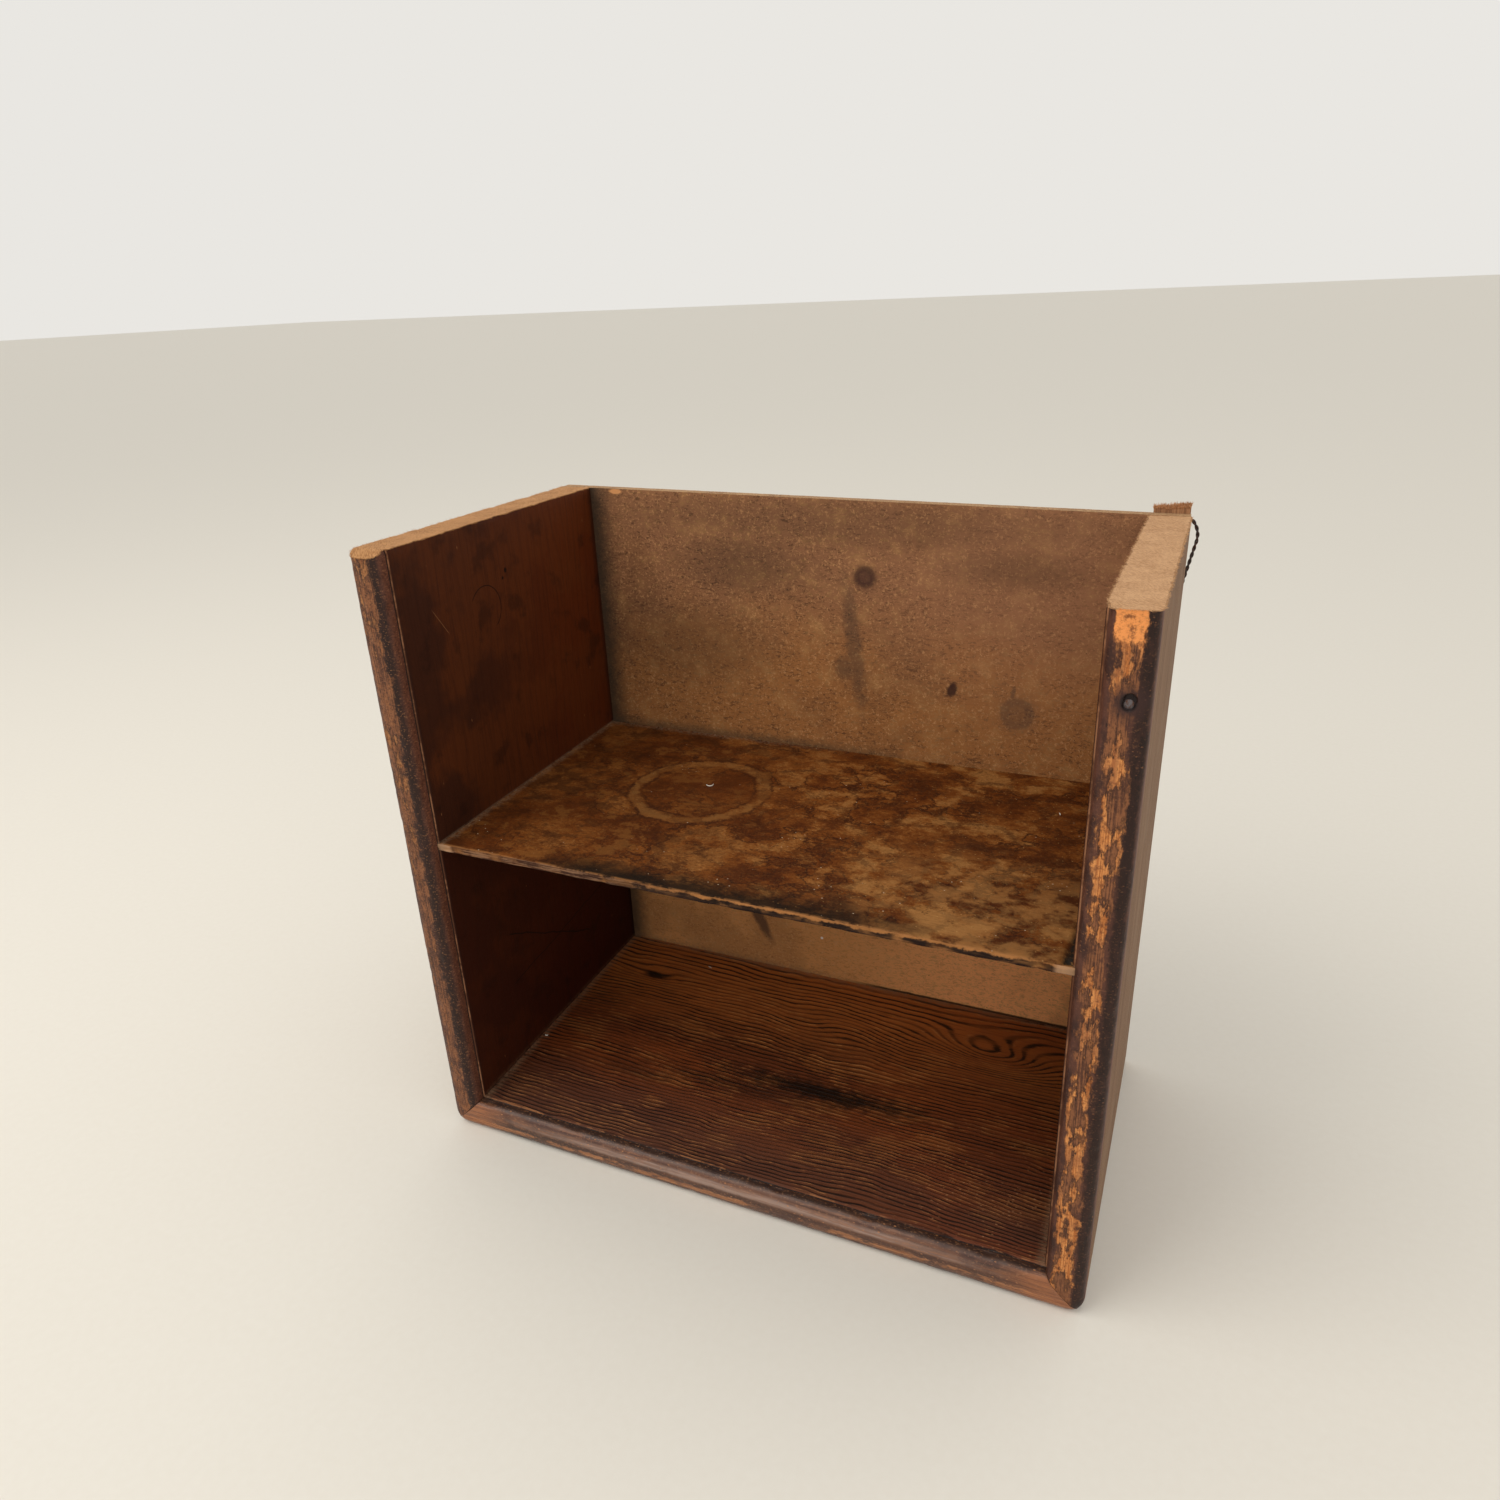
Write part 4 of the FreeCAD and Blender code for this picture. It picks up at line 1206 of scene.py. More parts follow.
def bottom_face():
    """Varnish over ridged soft wood, dark where things stood and spilled."""
    f = Finish("bottom_varnish")
    around = f.stored("around")
    rings = f.stored("rings")
    fibres = wood_fibres(f, 0, 41.0, 0.5, 22.0)
    cloud = f.mottle((90.0, 50.0, 50.0), 42.0, detail=4.0)
    patch = f.mottle((26.0, 12.0, 12.0), 43.0, detail=5.0)
    fleck = f.mottle(2.2, 44.0, detail=4.0, rough=0.65)
    ragged = f.mottle((9.0, 5.0, 5.0), 45.0, detail=6.0, rough=0.72) - 0.5
    phase = f.math("FRACT", rings + 0.5 * (fibres - 0.5))
    late = f.near(phase - 0.74, 0.27, 0.08)
    rise = f.near(phase - 0.46, 0.16, 0.03)

    colour = f.lay(tint(108, 54, 27), tint(132, 66, 28), f.between(cloud, 0.4, 0.6))
    colour = f.lay(colour, tint(150, 90, 42), f.between(patch, 0.5, 0.62) * 0.45)
    to_wall = f.between(f.y + 30 * ragged, -10.0, 70.0)
    colour = f.lay(colour, tint(196, 116, 54), to_wall * 0.75)
    front_dust = f.between(f.y, -20.0, FRONT_Y + 8)
    colour = f.lay(colour, tint(88, 54, 38), front_dust * 0.75)
    red_end = f.between(f.x, 40.0, 150.0)
    colour = f.lay(colour, tint(112, 50, 24), red_end * f.between(cloud, 0.4, 0.6) * 0.5)
    strong = f.between(f.mottle((60.0, 9.0, 9.0), 47.0), 0.42, 0.56)
    colour = f.lay(colour, tint(22, 8, 3), late * (0.5 + 0.45 * strong))
    glints = (rise * f.between(fibres + 0.6 * ragged, 0.46, 0.56)
              * f.between(patch + 0.5 * ragged, 0.46, 0.58))
    lit = f.spot(f.x, f.y, (15, 25), (80, 40), 0.6, ragged)
    colour = f.lay(colour, tint(200, 134, 76), glints * (0.5 + 0.45 * lit))
    colour = f.lay(colour, tint(52, 25, 14), f.between(fibres, 0.5, 0.64) * 0.4)
    smudge = f.spot(f.x, f.y, (24, -13), (46, 7.5), 0.8, ragged * 2.8)
    smudge = f.most(smudge, f.spot(f.x, f.y, (-86, -34), (22, 5), 0.9, ragged * 2.4) * 0.5)
    smudge = f.most(smudge, f.spot(f.x, f.y, (-20, -24), (60, 6), 0.9, ragged * 2.8) * 0.5)
    knot = f.spot(f.x, f.y, FIGURE_KNOT, (8, 3.0), 0.6, ragged * 1.6)
    colour = f.lay(colour, tint(18, 10, 7), f.most(smudge * 0.95, knot * 0.95))
    # Painted highlights: small bright glints over the front right of the board.
    painted_glint_specks = f.between(f.cells((3.4, 2.2, 2.2), 46.0), 0.22, 0.1) * f.between(patch, 0.35, 0.6)
    painted_glint_specks = painted_glint_specks * f.between(f.x, 20.0, 130.0) * f.between(f.y, 30.0, -50.0)
    colour = f.lay(colour, tint(172, 122, 84), painted_glint_specks * 0.6)
    edge_x = INNER_X - f.math("ABSOLUTE", f.x)
    dust = f.most(f.between(edge_x, 6.0, 0.5), f.between(f.y, REAR_Y - 7, REAR_Y - 1))
    dust = dust * f.between(fleck + patch * 0.4, 0.45, 0.8)
    colour = f.lay(colour, tint(150, 118, 90), dust * 0.55)
    # A pale broken line along the arris: rubbed wood with a painted highlight.
    arris = f.near(around + 0.55, 0.6, 0.15) * f.between(ragged + patch, 0.5, 0.62)
    colour = f.lay(colour, tint(150, 98, 62), arris * 0.85)
    relief = 0.45 * fibres + 0.3 * fleck + 0.4 * late
    return f.done(colour, 0.4 + 0.25 * fleck + 0.12 * front_dust, relief, 0.25, specular=0.28)


def bottom_nose():
    """The bottom's nose: brown above with a painted satin highlight along its crest, rubbed to bare
    wood along its lower bend.
    """
    f = Finish("bottom_nose_varnish")
    around = f.stored("around")
    fibres = wood_fibres(f, 0, 141.0, 0.5, 22.0)
    cloud = f.mottle((70.0, 30.0, 30.0), 142.0, detail=4.0)
    patch = f.mottle((15.0, 6.0, 6.0), 143.0, detail=5.0)
    fleck = f.mottle(2.2, 144.0, detail=4.0, rough=0.65)
    ragged = f.mottle((8.0, 4.0, 4.0), 145.0, detail=6.0, rough=0.72) - 0.5
    colour = f.lay(tint(104, 66, 46), tint(76, 44, 32), f.between(patch + 0.4 * ragged, 0.42, 0.6))
    streaks = f.mottle((46.0, 2.2, 2.2), 146.0, detail=5.0, rough=0.65)
    colour = f.lay(colour, tint(146, 92, 56), f.between(streaks + 0.3 * ragged, 0.54, 0.64) * 0.6)
    colour = f.lay(colour, tint(44, 25, 19), f.between(streaks, 0.46, 0.38) * 0.6)
    colour = f.lay(colour, tint(36, 22, 17), f.between(around + 4 * ragged, 7.5, 2.5) * 0.8)
    # Painted highlight: a pale satin band along the crest, fading towards both ends.
    painted_satin_highlight = f.near(around - CREST_ROUND + 2.4 + 1.5 * ragged, 3.4, 0.6)
    painted_satin_highlight = (painted_satin_highlight * f.between(f.x + 40 * ragged, -165.0, -60.0)
             * f.between(f.x + 40 * ragged, 150.0, 80.0))
    colour = f.lay(colour, tint(178, 150, 136),
                   painted_satin_highlight * (0.3 + 0.35 * f.between(streaks, 0.58, 0.44)))
    # A darker band just below the painted highlight.
    below = f.near(around - CREST_ROUND - 1.6 + 2 * ragged, 2.6, 0.8)
    colour = f.lay(colour, tint(66, 40, 30), below * 0.6)
    left_dark = f.between(f.x + 40 * ragged, -40.0, -130.0)
    colour = f.lay(colour, tint(50, 30, 24),
                   left_dark * f.between(around + 8 * ragged, 12.0, 16.0) * 0.7)
    rubbed = f.near(around - CREST_ROUND - 4.6 + 6 * ragged, 2.4, 0.8)
    rubbed = rubbed * f.between(cloud + 1.2 * ragged, 0.4, 0.56)
    wood = f.lay(tint(140, 88, 54), tint(186, 128, 84), f.between(fibres, 0.4, 0.6))
    colour = f.lay(colour, wood, rubbed * 0.85)
    edge_x = INNER_X - f.math("ABSOLUTE", f.x)
    ends = f.between(edge_x + 14 * ragged, 22.0, -2.0) * f.between(around + 9 * ragged, 3.0, 6.0)
    colour = f.lay(colour, f.lay(tint(130, 74, 42), tint(180, 112, 64),
                                 f.between(fibres, 0.4, 0.6)), ends * 0.6)
    colour = f.lay(colour, tint(28, 17, 14),
                   f.between(around + 4 * ragged, NOSE_ROUND - 2.6, NOSE_ROUND - 1.0) * 0.8)
    nicks = f.between(f.cells((4.0, 2.2, 2.2), 147.0), 0.2, 0.09) * f.between(patch, 0.45, 0.58)
    colour = f.lay(colour, tint(190, 126, 76), nicks * 0.75)
    colour = f.lay(colour, tint(24, 13, 10), f.between(around, 1.0, 0.3) * 0.8)
    under = bare_edge(f, 148.0, 0)
    grit = f.mottle((1.6, 1.0, 1.0), 149.0, detail=4.0, rough=0.7)
    colour = f.lay(colour, tint(160, 112, 78), f.between(grit, 0.55, 0.64) * 0.4)
    colour = f.lay(colour, under, f.between(around + 1.5 * ragged, NOSE_ROUND, NOSE_ROUND + 0.6))
    off_nose = f.between(around, NOSE_ROUND, NOSE_ROUND + 1.0)
    roughness = 0.3 + 0.2 * fleck + 0.2 * rubbed + 0.3 * off_nose
    relief = 0.45 * fibres + 0.3 * fleck - 0.5 * nicks - 0.4 * rubbed
    return f.done(colour, roughness, relief, 0.22, specular=0.5)


def sawn_end(name, seed, pale, dark):
    """Rough end grain left by a saw: pale, with fine slanting tooth marks."""
    f = Finish(name)
    slanted = f.x * 0.8 + f.y * 0.6
    across = f.y * 0.8 - f.x * 0.6
    where = f.join(slanted / 0.42, across / 2.4, f.z / 2.0 + seed)
    marks = Tone(f, f.node("TexNoise", {"Vector": where, "Scale": 1.0, "Detail": 5.0,
                                        "Roughness": 0.7}).outputs[0])
    pores = f.mottle(0.9, seed, detail=3.0, rough=0.7)
    cloud = f.mottle(11.0, seed + 1, detail=5.0, rough=0.65)
    colour = f.lay(dark, pale, f.between(marks * 0.7 + cloud * 0.25 + pores * 0.25, 0.48, 0.68))
    colour = f.lay(colour, tint(112, 72, 44), f.between(pores, 0.56, 0.68) * 0.4)
    return f.done(colour, 0.78 + 0.15 * pores, marks * 0.7 + pores * 0.7, 0.45, specular=0.2)


def raw_wood(name, seed, along, dark, light):
    """Unfinished wood, rough and a little dirty."""
    f = Finish(name)
    fibres = wood_fibres(f, along, seed, 0.6, 18.0)
    cloud = f.mottle(20.0, seed + 1, detail=4.0)
    colour = f.lay(dark, light, f.between(fibres * 0.7 + cloud * 0.4, 0.4, 0.68))
    colour = f.lay(colour, tint(70, 42, 28), f.between(cloud, 0.58, 0.8) * 0.5)
    return f.done(colour, 0.75 + 0.2 * fibres, fibres, 0.4, specular=0.25)


ROUND_MARK = (13.6, 287)
FAINT_MARK = (99.4, 217)
TICK_MARK = (63.6, 227)
LOW_STREAK = (-58, 54)


def fibre_board(name, with_stains):
    """Pressed brown fibre board: random short fibres, pinholes and old stains; its face has painted
    shade in the left corner and a painted shadow line above the bottom board.
    """
    f = Finish(name)
    lint = f.mottle(1.5, 1.0, detail=4.0, rough=0.75, warp=0.6)
    strands = f.mottle((3.2, 3.2, 1.3), 2.0, detail=4.0, rough=0.75, warp=0.9)
    cloud = f.mottle(46.0, 3.0, detail=5.0)
    blotch = f.mottle(13.0, 4.0, detail=5.0)
    ragged = f.mottle(6.0, 5.0, detail=6.0, rough=0.7) - 0.5
    rise = f.between(f.z, 185.0, 330.0)
    ground = f.lay(tint(154, 102, 58), tint(140, 96, 66),
                   f.between(rise + 0.7 * (cloud - 0.5), 0.1, 0.8))
    strand_cover = 0.75
    if with_stains:
        low_bay = f.between(f.z, SHELF_UNDERSIDE + 6, SHELF_UNDERSIDE - 30)
        bright = f.lay(tint(200, 138, 82), tint(250, 172, 110), f.between(f.x, -20.0, 110.0))
        ground = f.lay(ground, bright, low_bay)
        strand_cover = 0.75 - 0.4 * low_bay
    ground = f.lay(ground, tint(120, 80, 50), f.between(cloud, 0.5, 0.64) * 0.35)
    ground = f.lay(ground, tint(74, 48, 32), f.between(strands, 0.5, 0.62) * strand_cover)
    ground = f.lay(ground, tint(200, 148, 98), f.between(lint, 0.53, 0.64) * 0.6)
    ground = f.lay(ground, tint(196, 146, 92), f.between(blotch * strands, 0.27, 0.36) * 0.35)
    holes = f.between(f.cells((5.5, 5.5, 5.5), 6.0), 0.075, 0.045)
    ground = f.lay(ground, tint(50, 30, 22), holes * 0.8)
    if not with_stains:
        ground = f.lay(ground, tint(78, 56, 42), 0.4 + 0.3 * f.between(cloud, 0.4, 0.6))
        ground = f.lay(ground, tint(70, 40, 26), f.stored("rust") * (0.4 + 0.6 * lint))
    else:
        dark = tint(64, 46, 34)
        # Painted shade: darker towards the corner against the left side board.
        corner_shade = f.between(f.x + 10 * ragged, -INNER_X + 17, -INNER_X + 1)
        ground = f.lay(ground, tint(48, 42, 34), corner_shade * 0.85)
        pale = f.spot(f.x, f.z, (115, 285), (75, 60), 0.8, ragged * 0.8)
        ground = f.lay(ground, tint(180, 126, 92), pale * 0.3)
        haze = f.spot(f.x, f.z, (-98, 240), (52, 24), 0.7, ragged * 1.4) * 0.4
        for middle, radii, torn, cover in (((-60, 290), (34, 16), 1.5, 0.42),
                                           ((95, 296), (34, 10), 1.8, 0.34),
                                           ((10, 316), (130, 12), 1.0, 0.28)):
            haze = f.most(haze, f.spot(f.x, f.z, middle, radii, 0.7, ragged * torn) * cover)
        ground = f.lay(ground, dark, haze)
        smear = f.spot(f.x + 0.12 * (f.z - 240), f.z, (8, 246), (4.6, 34), 0.5, ragged * 1.8)
        smear = f.most(smear, f.spot(f.x, f.z, (2, 234), (6, 7), 0.5, ragged * 1.4))
        ground = f.lay(ground, tint(72, 56, 46), smear * 0.5)
        round_mark = f.spot(f.x, f.z, ROUND_MARK, (6.2, 6.4), 0.5, ragged * 0.7)
        ground = f.lay(ground, tint(64, 38, 36), round_mark * 0.75)
        ground = f.lay(ground, tint(40, 24, 24),
                       f.ring(f.x, f.z, ROUND_MARK, 4.6, 2.4, ragged * 1.5) * 0.35)
        ring = f.ring(f.x, f.z, FAINT_MARK, 6.6, 4.4, ragged * 3.0)
        ring = f.most(ring * 0.45, f.spot(f.x, f.z, FAINT_MARK, (9, 9), 0.7, ragged * 1.4) * 0.36)
        tail = f.stroke(f.x, f.z, (96, 224), (97.5, 233), 1.6, ragged) * 0.5
        ground = f.lay(ground, tint(72, 60, 54), f.most(ring, tail))
        tick = f.spot(f.x - 0.3 * (f.z - TICK_MARK[1]), f.z, TICK_MARK, (2.9, 4.0), 0.3,
                      ragged * 1.2)
        ground = f.lay(ground, tint(52, 30, 28), tick * 0.85)
        streak = f.spot(f.x + 0.45 * (f.z - 52), f.z, LOW_STREAK, (4.2, 15), 0.4, ragged * 1.2)
        ground = f.lay(ground, tint(62, 44, 38), streak * 0.75)
        low_edge = (f.between(f.z + 9 * ragged, SHELF_TOP + 7, SHELF_TOP)
                    * f.between(f.z, SHELF_TOP - 3, SHELF_TOP))
        ground = f.lay(ground, tint(70, 58, 44), low_edge * f.between(f.x, 110.0, -60.0) * 0.6)
        # Painted shadow: a dark line on the panel just above the bottom board, as if cast into a
        # gap there.
        gap_shadow = f.between(f.z + 1.2 * ragged, BOARD + 1.7, BOARD + 0.9) * f.between(f.x, -10.0, 30.0)
        ground = f.lay(ground, tint(16, 9, 6), gap_shadow * 0.9)
        foot = (f.between(f.x, 30.0, -20.0) * f.between(f.z, BOARD + 5.0, BOARD)
                * f.between(lint, 0.35, 0.6))
        ground = f.lay(ground, tint(110, 84, 62), foot * 0.5)
        chip = f.spot(f.x, f.z, (-139, 328.6), (4.0, 1.3), 0.3, ragged)
        ground = f.lay(ground, tint(214, 150, 96), chip * 0.9)
        dot = f.spot(f.x, f.z, (-15.3, 48), (0.9, 0.9), 0.25)
        ground = f.lay(ground, tint(225, 215, 205), dot)
    return f.done(ground, 0.66 + 0.2 * lint, lint * 0.6 + strands * 0.6, 0.16, specular=0.14)


CUP_RING = (-57.0, 15.4)


def stained_shelf():
    """Amber varnish, eaten by water into blotches with dark rims; its underside is darkened as
    painted shade.
    """
    f = Finish("shelf_varnish")
    drift = f.mottle((46.0, 30.0, 30.0), 21.0, detail=3.0)
    stains = f.mottle((34.0, 27.0, 27.0), 22.0, detail=8.0, rough=0.6)
    islands = f.mottle((15.0, 12.0, 12.0), 23.0, detail=7.0, rough=0.64, warp=0.15)
    grain = f.mottle((1.6, 1.1, 1.1), 29.0, detail=3.0, rough=0.7)
    fibres = wood_fibres(f, 0, 24.0, 0.7, 16.0)
    fleck = f.mottle(1.4, 25.0, detail=3.0, rough=0.7)
    ragged = f.mottle((8.0, 6.0, 6.0), 26.0, detail=6.0, rough=0.7) - 0.5
    fields = stains * 0.62 + islands * 0.38

    right = f.between(f.x + 60 * ragged, -60.0, 60.0)
    ground = f.lay(tint(90, 43, 11), tint(124, 70, 25), f.between(fields, 0.42, 0.58))
    ground = f.lay(ground, tint(150, 104, 56),
                   f.between(fields + 0.12 * ragged, 0.51, 0.6) * (0.25 + 0.5 * right))
    ground = f.lay(ground, tint(62, 29, 9), f.between(fields, 0.48, 0.4) * (0.3 + 0.4 * right))
    rims = f.near(stains - 0.49, 0.02, 0.004)
    rims = f.most(rims, f.near(islands - 0.455, 0.018, 0.003) * 0.8)
    ground = f.lay(ground, tint(48, 21, 8), rims * f.between(drift, 0.38, 0.55) * 0.8)
    ground = f.lay(ground, tint(52, 24, 9), f.between(grain, 0.54, 0.64) * 0.45)
    cracks = f.between(f.cells((26.0, 19.0, 19.0), 30.0, feature="DISTANCE_TO_EDGE") + 0.7 * ragged,
                       0.1, 0.02)
    ground = f.lay(ground, tint(54, 24, 9), cracks * f.between(islands, 0.4, 0.55) * 0.55)
    ground = f.lay(ground, tint(176, 126, 72),
                   f.between(grain, 0.44, 0.36) * (0.12 + 0.3 * f.between(fields, 0.45, 0.6)))
    reddish = f.between(f.x + 70 * ragged, -40.0, -150.0)
    ground = f.lay(ground, tint(104, 54, 18), reddish * 0.35)
    left = f.between(f.x + 60 * ragged, 10.0, -60.0)
    ground = f.lay(ground, tint(52, 23, 7),
                   f.between(islands + 0.5 * ragged, 0.5, 0.6) * left * 0.6)
    ground = f.lay(ground, tint(138, 90, 42),
                   f.between(islands + 0.4 * ragged, 0.46, 0.38) * left * 0.4)
    pale_front = (f.between(f.x + 50 * ragged, 20.0, 110.0)
                  * f.between(f.y + 40 * ragged, 10.0, -50.0))
    ground = f.lay(ground, tint(164, 116, 66), pale_front * f.between(islands, 0.38, 0.56) * 0.55)
    ground = f.lay(ground, tint(60, 30, 14), f.between(fibres, 0.55, 0.75) * 0.35)

    wobble = ragged * 9 + 8 * (stains - 0.5)
    inside = f.spot(f.x, f.y, CUP_RING, (37, 34), 0.12, ragged * 0.3)
    ground = f.lay(ground, tint(92, 46, 13), inside * 0.25)
    faded = f.between(islands + 0.5 * ragged, 0.42, 0.54)
    for radius, width, ink, least, more in ((36.0, 4.6, tint(140, 94, 48), 0.2, 0.4),
                                            (40.0, 1.5, tint(60, 29, 11), 0.1, 0.6),
                                            (31.0, 1.3, tint(60, 29, 11), 0.1, 0.6)):
        line = f.ring(f.x, f.y, CUP_RING, radius, width, wobble)
        ground = f.lay(ground, ink, line * (least + more * faded))

    front = f.y - shelf_low[1]
    band = f.between(front + 22 * ragged, 20.0, 3.0) * f.between(f.x + 40 * ragged, -112.0, -70.0)
    band = band * f.between(f.x + 40 * ragged, 120.0, 40.0)
    ground = f.lay(ground, tint(24, 17, 10), band * 0.92)
    worn_lip = f.between(front, 2.2, 0.6) * f.between(islands + ragged * 0.6, 0.42, 0.56)
    ground = f.lay(ground, tint(160, 108, 62), worn_lip * 0.7)
    side_dust = f.between(f.x + INNER_X + 8 * ragged, 5.0, 0.5) * f.between(fleck, 0.35, 0.6)
    back_dust = f.between(REAR_Y - f.y + 8 * ragged, 6.0, 1.0) * f.between(f.x, 20.0, -90.0)
    back_dust = back_dust * f.between(fleck, 0.4, 0.6)
    ground = f.lay(ground, tint(140, 118, 96), f.most(side_dust, back_dust) * 0.5)
    crumbs = f.between(f.cells((6.0, 4.4, 4.4), 27.0), 0.07, 0.04) * f.between(drift, 0.45, 0.6)
    ground = f.lay(ground, tint(214, 190, 160), crumbs * 0.85)
    shine = f.between(f.cells((4.0, 2.6, 2.6), 28.0), 0.12, 0.05) * f.between(f.x, -20.0, 80.0)
    ground = f.lay(ground, tint(205, 160, 98), shine * 0.5)
    broken = f.stored("broken")
    ground = f.lay(ground, tint(40, 34, 28), broken * f.between(fleck, 0.2, 0.5))

    # The front edge: grey fibres at the left, grime and rubbed wood to the right.
    on_edge = f.between(f.y, shelf_low[1] + 0.9, shelf_low[1] + 0.35)
    edge = f.lay(tint(62, 38, 28), tint(128, 94, 70), f.between(fibres + ragged * 0.5, 0.46, 0.6))
    dirt = (f.between(f.x + 50 * ragged, -90.0, 0.0)
            * f.between(f.z + 5 * ragged, SHELF_TOP - 0.6, SHELF_TOP - 1.8))
    edge = f.lay(edge, tint(30, 20, 16), dirt * 0.9)
    rubbed = (f.between(f.z + 7 * ragged, SHELF_TOP - 1.9, SHELF_TOP - 0.9)
              * f.between(f.x + 60 * ragged, -60.0, 0.0))
    edge = f.lay(edge, tint(176, 118, 66), rubbed * 0.8)
    ends = f.between(INNER_X - f.math("ABSOLUTE", f.x), 8.0, 5.0)
    edge = f.lay(edge, tint(190, 150, 116), ends * 0.7)
    ground = f.lay(ground, edge, on_edge)
    # Painted shade: the underside is a darker copy of the top's colour.
    underside_shade = f.between(f.z, SHELF_UNDERSIDE + 0.8, SHELF_UNDERSIDE + 0.3)
    ground = f.lay(ground, f.shade(ground, 0.55), underside_shade)
    roughness = 0.42 + 0.3 * fields + 0.2 * on_edge + 0.1 * fleck
    relief = 0.3 * fibres + 0.5 * grain + 0.3 * fields - 0.3 * rims
    return f.done(ground, roughness, relief, 0.25, specular=0.1)


def old_iron(name, seed, bright):
    """Dull iron with a skin of brown rust."""
    f = Finish(name)
    rust = f.mottle(1.1, seed, detail=4.0, rough=0.7)
    grit = f.mottle(0.35, seed + 1, detail=3.0)
    colour = f.lay(bright, tint(92, 58, 40), f.between(rust, 0.42, 0.66))
    colour = f.lay(colour, tint(30, 24, 22), f.between(grit, 0.55, 0.8) * 0.6)
    return f.done(colour, 0.42 + 0.4 * rust, rust * 0.6 + grit * 0.4, 0.08, metallic=0.55)


# ---- the boards in place ----

hidden_wood = raw_wood("hidden_side_wood", 60.0, 2, tint(104, 66, 42), tint(158, 112, 74))
left_cut = sawn_end("left_saw_cut", 70.0, tint(192, 142, 94), tint(146, 100, 60))
right_cut = sawn_end("right_saw_cut", 75.0, tint(206, 162, 120), tint(168, 124, 84))
nail_low, nail_high = corners_mm("front_nail")
left_wear = {
    "middle": 2.8, "half_width": 5.6, "cover": 0.525, "fades_below": 205.0,
    "wood": (tint(128, 84, 54), tint(168, 114, 70)),
    "dark_band": 0.8, "dark_band_in": (-9.0, -5.0), "dark_band_out": (1.5, -4.0), "grit": 0.6,
    "dark_places": ((258.0, 20.0), (284.0, 16.0), (316.0, 9.0))}
right_wear = {
    "middle": -0.4, "half_width": 4.4, "cover": 0.5,
    "top": top_at("right_side", FRONT_Y + NOSE_BAND, 4.0),
    "wood": (tint(170, 100, 50), tint(212, 142, 82)),
    "dark_band": 0.8, "dark_band_in": (3.2, 6.0), "dark_band_out": (11.4, 9.0), "grit": 0.25,
    "dark_places": ((292.0, 16.0), (196.0, 9.0)),
    "nail": ((nail_low[0] + nail_high[0]) / 2, (nail_low[2] + nail_high[2]) / 2)}
left_nose = side_nose("left_nose_varnish", 3.0, left_wear, (-6.0, -8.0))
right_nose = side_nose("right_nose_varnish", 8.0, right_wear, None)
left_face = side_face("left_face_varnish", 3.0, -1)
right_face = side_face("right_face_varnish", 8.0, 1)

left_rims = side_board(
    "left_side", -1, True, 3, [left_face, left_nose, left_cut, hidden_wood])
right_rims = side_board(
    "right_side", 1, False, 103, [right_face, right_nose, right_cut, hidden_wood])
bottom_board([bottom_face(), bottom_nose(), hidden_wood, hidden_wood])
middle_shelf([stained_shelf()])

board_face = fibre_board("fibre_board_face", True)
board_rear = fibre_board("fibre_board_rear", False)
board_edge = sawn_end("fibre_board_edge", 80.0, tint(186, 148, 108), tint(132, 98, 68))
back_panel([board_face, board_edge, board_rear])

for side, rims, cut, seed in (("left", left_rims, left_cut, 5),
                              ("right", right_rims, right_cut, 9)):
    for place, (rim, lean) in zip(("inner", "outer", "front"), rims):
        count = int(np.linalg.norm(np.diff(rim, axis=0), axis=1).sum() * 2.4)
        rim_fibres(side + "_" + place + "_rim_fibres", [rim - (0, 0, 0.25)],
                   [np.tile(lean, (len(rim), 1))], cut, seed, count, 1.5, 0.16, 0.5)

# ---- battens, nails and hanging loops ----
batten_wood = raw_wood("batten_wood", 95.0, 2, tint(128, 88, 60), tint(178, 130, 92))
torn_wood = raw_wood("torn_batten_wood", 97.0, 2, tint(158, 108, 70), tint(204, 150, 104))
batten("left_batten_piece", "left_batten", 201, [batten_wood, torn_wood])
batten("right_batten_piece", "right_batten", 211, [batten_wood, torn_wood])
iron = old_iron("nail_iron", 90.0, tint(120, 112, 108))
dark_iron = old_iron("sunk_nail_iron", 91.0, tint(104, 98, 100))
wire = old_iron("loop_wire_iron", 92.0, tint(62, 58, 56))
to_front = (0, -1, 0)
nail_row("loop_nail_pair", "loop_nails", to_front, 3.0, LOOP_NAIL_SHANK, 1.0, iron)
nail_row("batten_nail_row", "batten_nails", to_front, 2.2, 1.1, 0.8, iron)
nail_row("back_panel_brad_row", "back_panel_brads", to_front, 1.5, 0.7, 0.6, iron)
nail_row("corner_nail_row", "corner_nails", (0, 0, 1), 1.7, 1.1, 1.2, iron)
nail_row("front_nail_piece", "front_nail", (0, 1, 0), 1.9, 1.1, 1.0, dark_iron)
loop_staples(iron)
for node in ("left_hanging_loop", "right_hanging_loop"):
    loop_low, loop_high = corners_mm(node)
    hanging_loop(node + "_wire", node, (loop_low[0] + loop_high[0]) / 2,
                 (corners_mm("loop_nails")[0][2] + corners_mm("loop_nails")[1][2]) / 2, wire)
pale_curls(raw_wood("pale_curl_wood", 98.0, 0, tint(196, 186, 170), tint(232, 226, 214)))

# ---- floor, light and camera ----
FLOOR_REACH = 30.0
CASE_MIDDLE = (0, 0, 0.17)
ROOM_TONE = (0.86, 0.84, 0.8, 1)
ROOM_STRENGTH = 0.95
EYE = Vector((0.1896, -0.4539, 0.4342))
YAW = math.radians(-24.63)
PITCH = math.radians(-23.45)
ROLL = math.radians(-2.66)
LENS = 25.53
SENSOR_WIDTH = 36.0


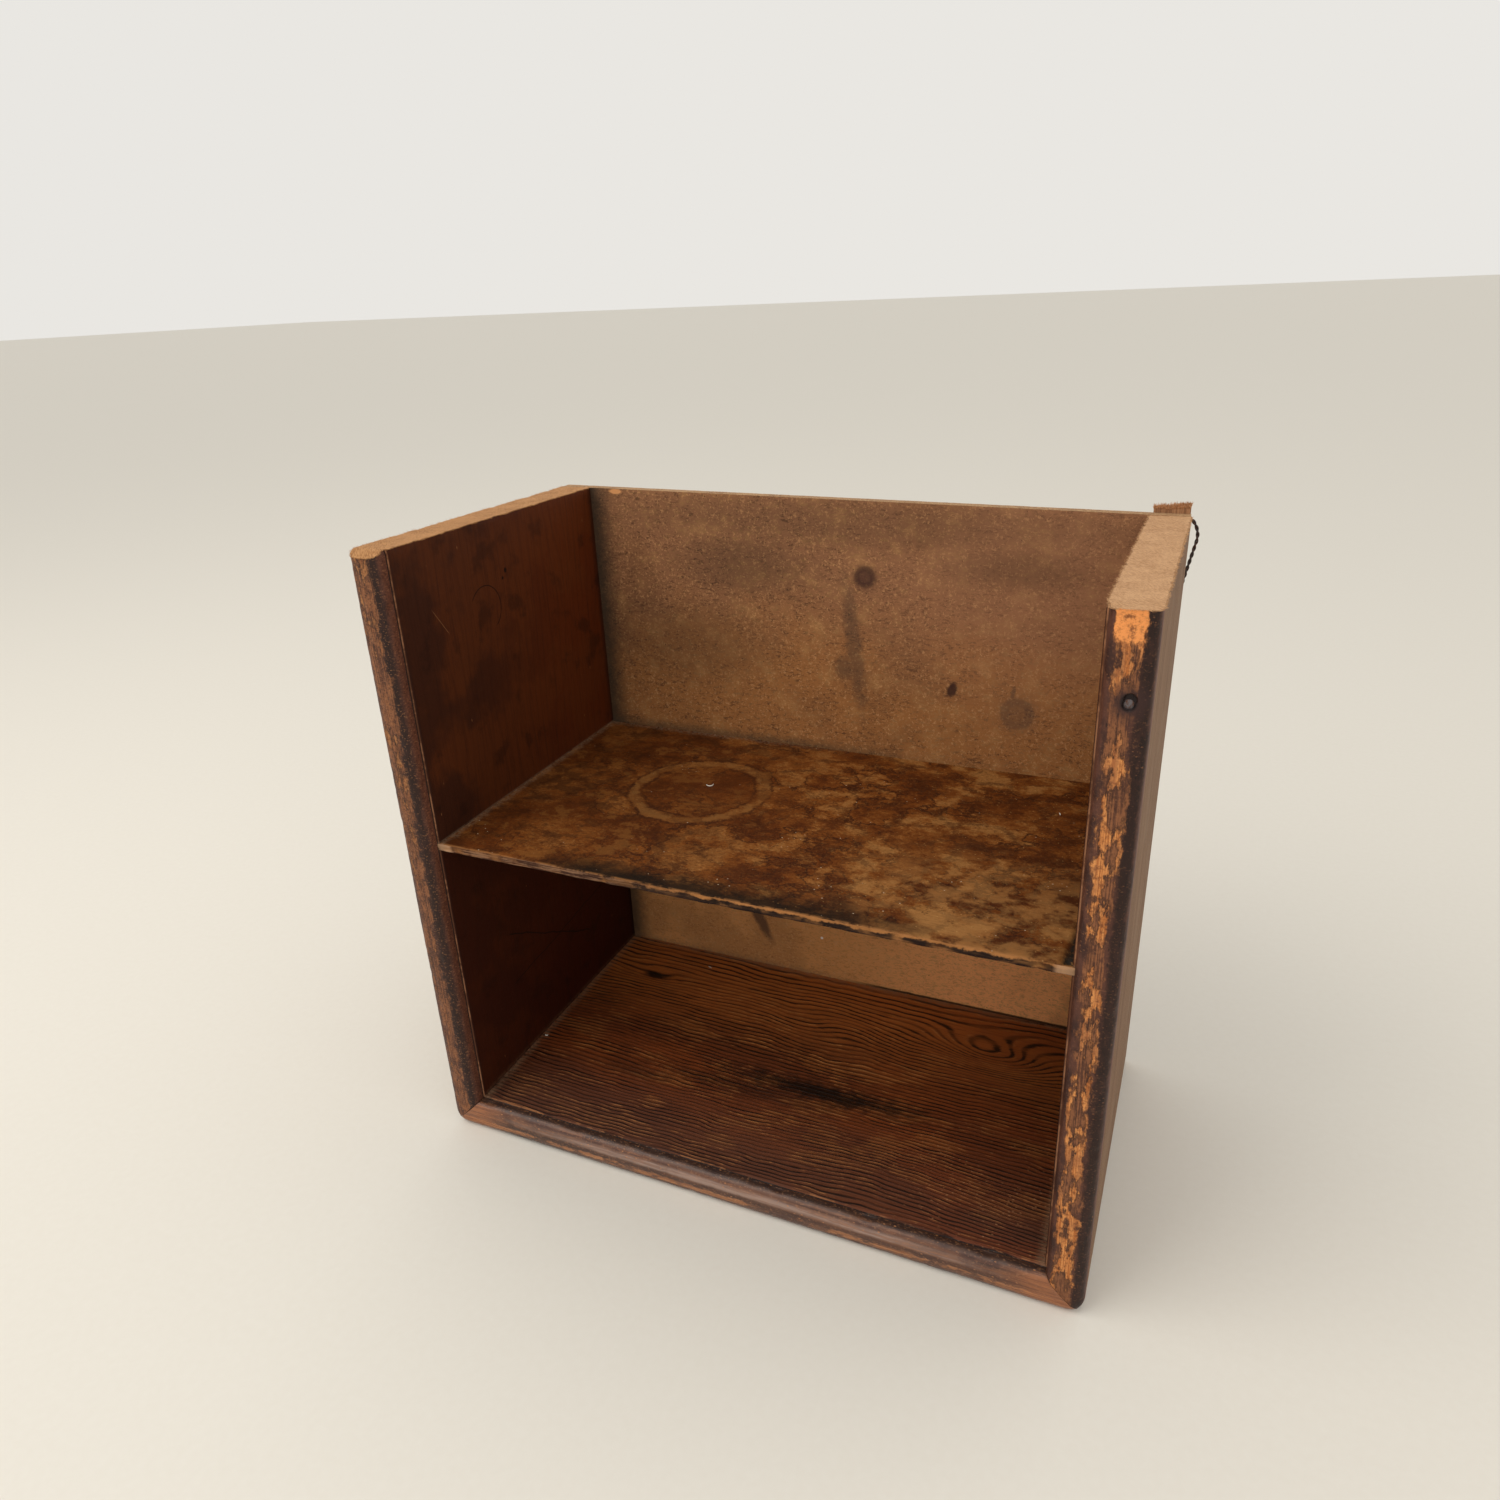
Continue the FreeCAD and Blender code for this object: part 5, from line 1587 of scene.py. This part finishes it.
def pale_floor():
    """A wide pale floor."""
    mesh = bpy.data.meshes.new("floor")
    corners = [(x * FLOOR_REACH, y * FLOOR_REACH, 0)
               for x, y in ((-1, -1), (1, -1), (1, 1), (-1, 1))]
    mesh.from_pydata(corners, [], [(0, 1, 2, 3)])
    floor = bpy.data.objects.new("floor", mesh)
    bpy.context.scene.collection.objects.link(floor)
    f = Finish("pale_floor_paint")
    grain = f.mottle(4.0, 99.0)
    mesh.materials.append(f.done(f.lay(tint(226, 221, 211), tint(230, 226, 217), grain),
                                 0.8 + 0.1 * grain))


def soft_light(name, place, target, size, power, colour):
    """A square light that looks at the case."""
    lamp = bpy.data.lights.new(name, "AREA")
    lamp.shape = "SQUARE"
    lamp.size = size
    lamp.energy = power
    lamp.color = colour
    holder = bpy.data.objects.new(name, lamp)
    bpy.context.scene.collection.objects.link(holder)
    holder.location = place
    holder.rotation_mode = "QUATERNION"
    holder.rotation_quaternion = (Vector(target) - Vector(place)).to_track_quat("-Z", "Y")


pale_floor()
soft_light("key_light", (-0.9, -0.9, 1.7), CASE_MIDDLE, 1.4, 15, (1.0, 0.96, 0.9))
soft_light("fill_light", (1.0, -1.4, 0.9), CASE_MIDDLE, 1.2, 3, (0.95, 0.97, 1.0))

world = bpy.data.worlds.new("pale_room")
bpy.context.scene.world = world
world.use_nodes = True
world.node_tree.nodes["Background"].inputs[0].default_value = ROOM_TONE
world.node_tree.nodes["Background"].inputs[1].default_value = ROOM_STRENGTH
bpy.context.scene.view_settings.view_transform = "Standard"


def look_through(eye, yaw, pitch, roll, lens):
    """The camera, turned by its yaw, pitch and roll."""
    ahead = Vector((math.sin(yaw) * math.cos(pitch), math.cos(yaw) * math.cos(pitch),
                    math.sin(pitch)))
    level = Vector((math.cos(yaw), -math.sin(yaw), 0))
    upright = level.cross(ahead)
    right = level * math.cos(roll) + upright * math.sin(roll)
    up = upright * math.cos(roll) - level * math.sin(roll)
    data = bpy.data.cameras.new("camera")
    data.lens = lens
    data.sensor_width = SENSOR_WIDTH
    data.clip_start = 0.01
    holder = bpy.data.objects.new("camera", data)
    bpy.context.scene.collection.objects.link(holder)
    turn = Matrix((right, up, -ahead)).transposed().to_4x4()
    holder.matrix_world = Matrix.Translation(eye) @ turn
    bpy.context.scene.camera = holder


look_through(EYE, YAW, PITCH, ROLL, LENS)
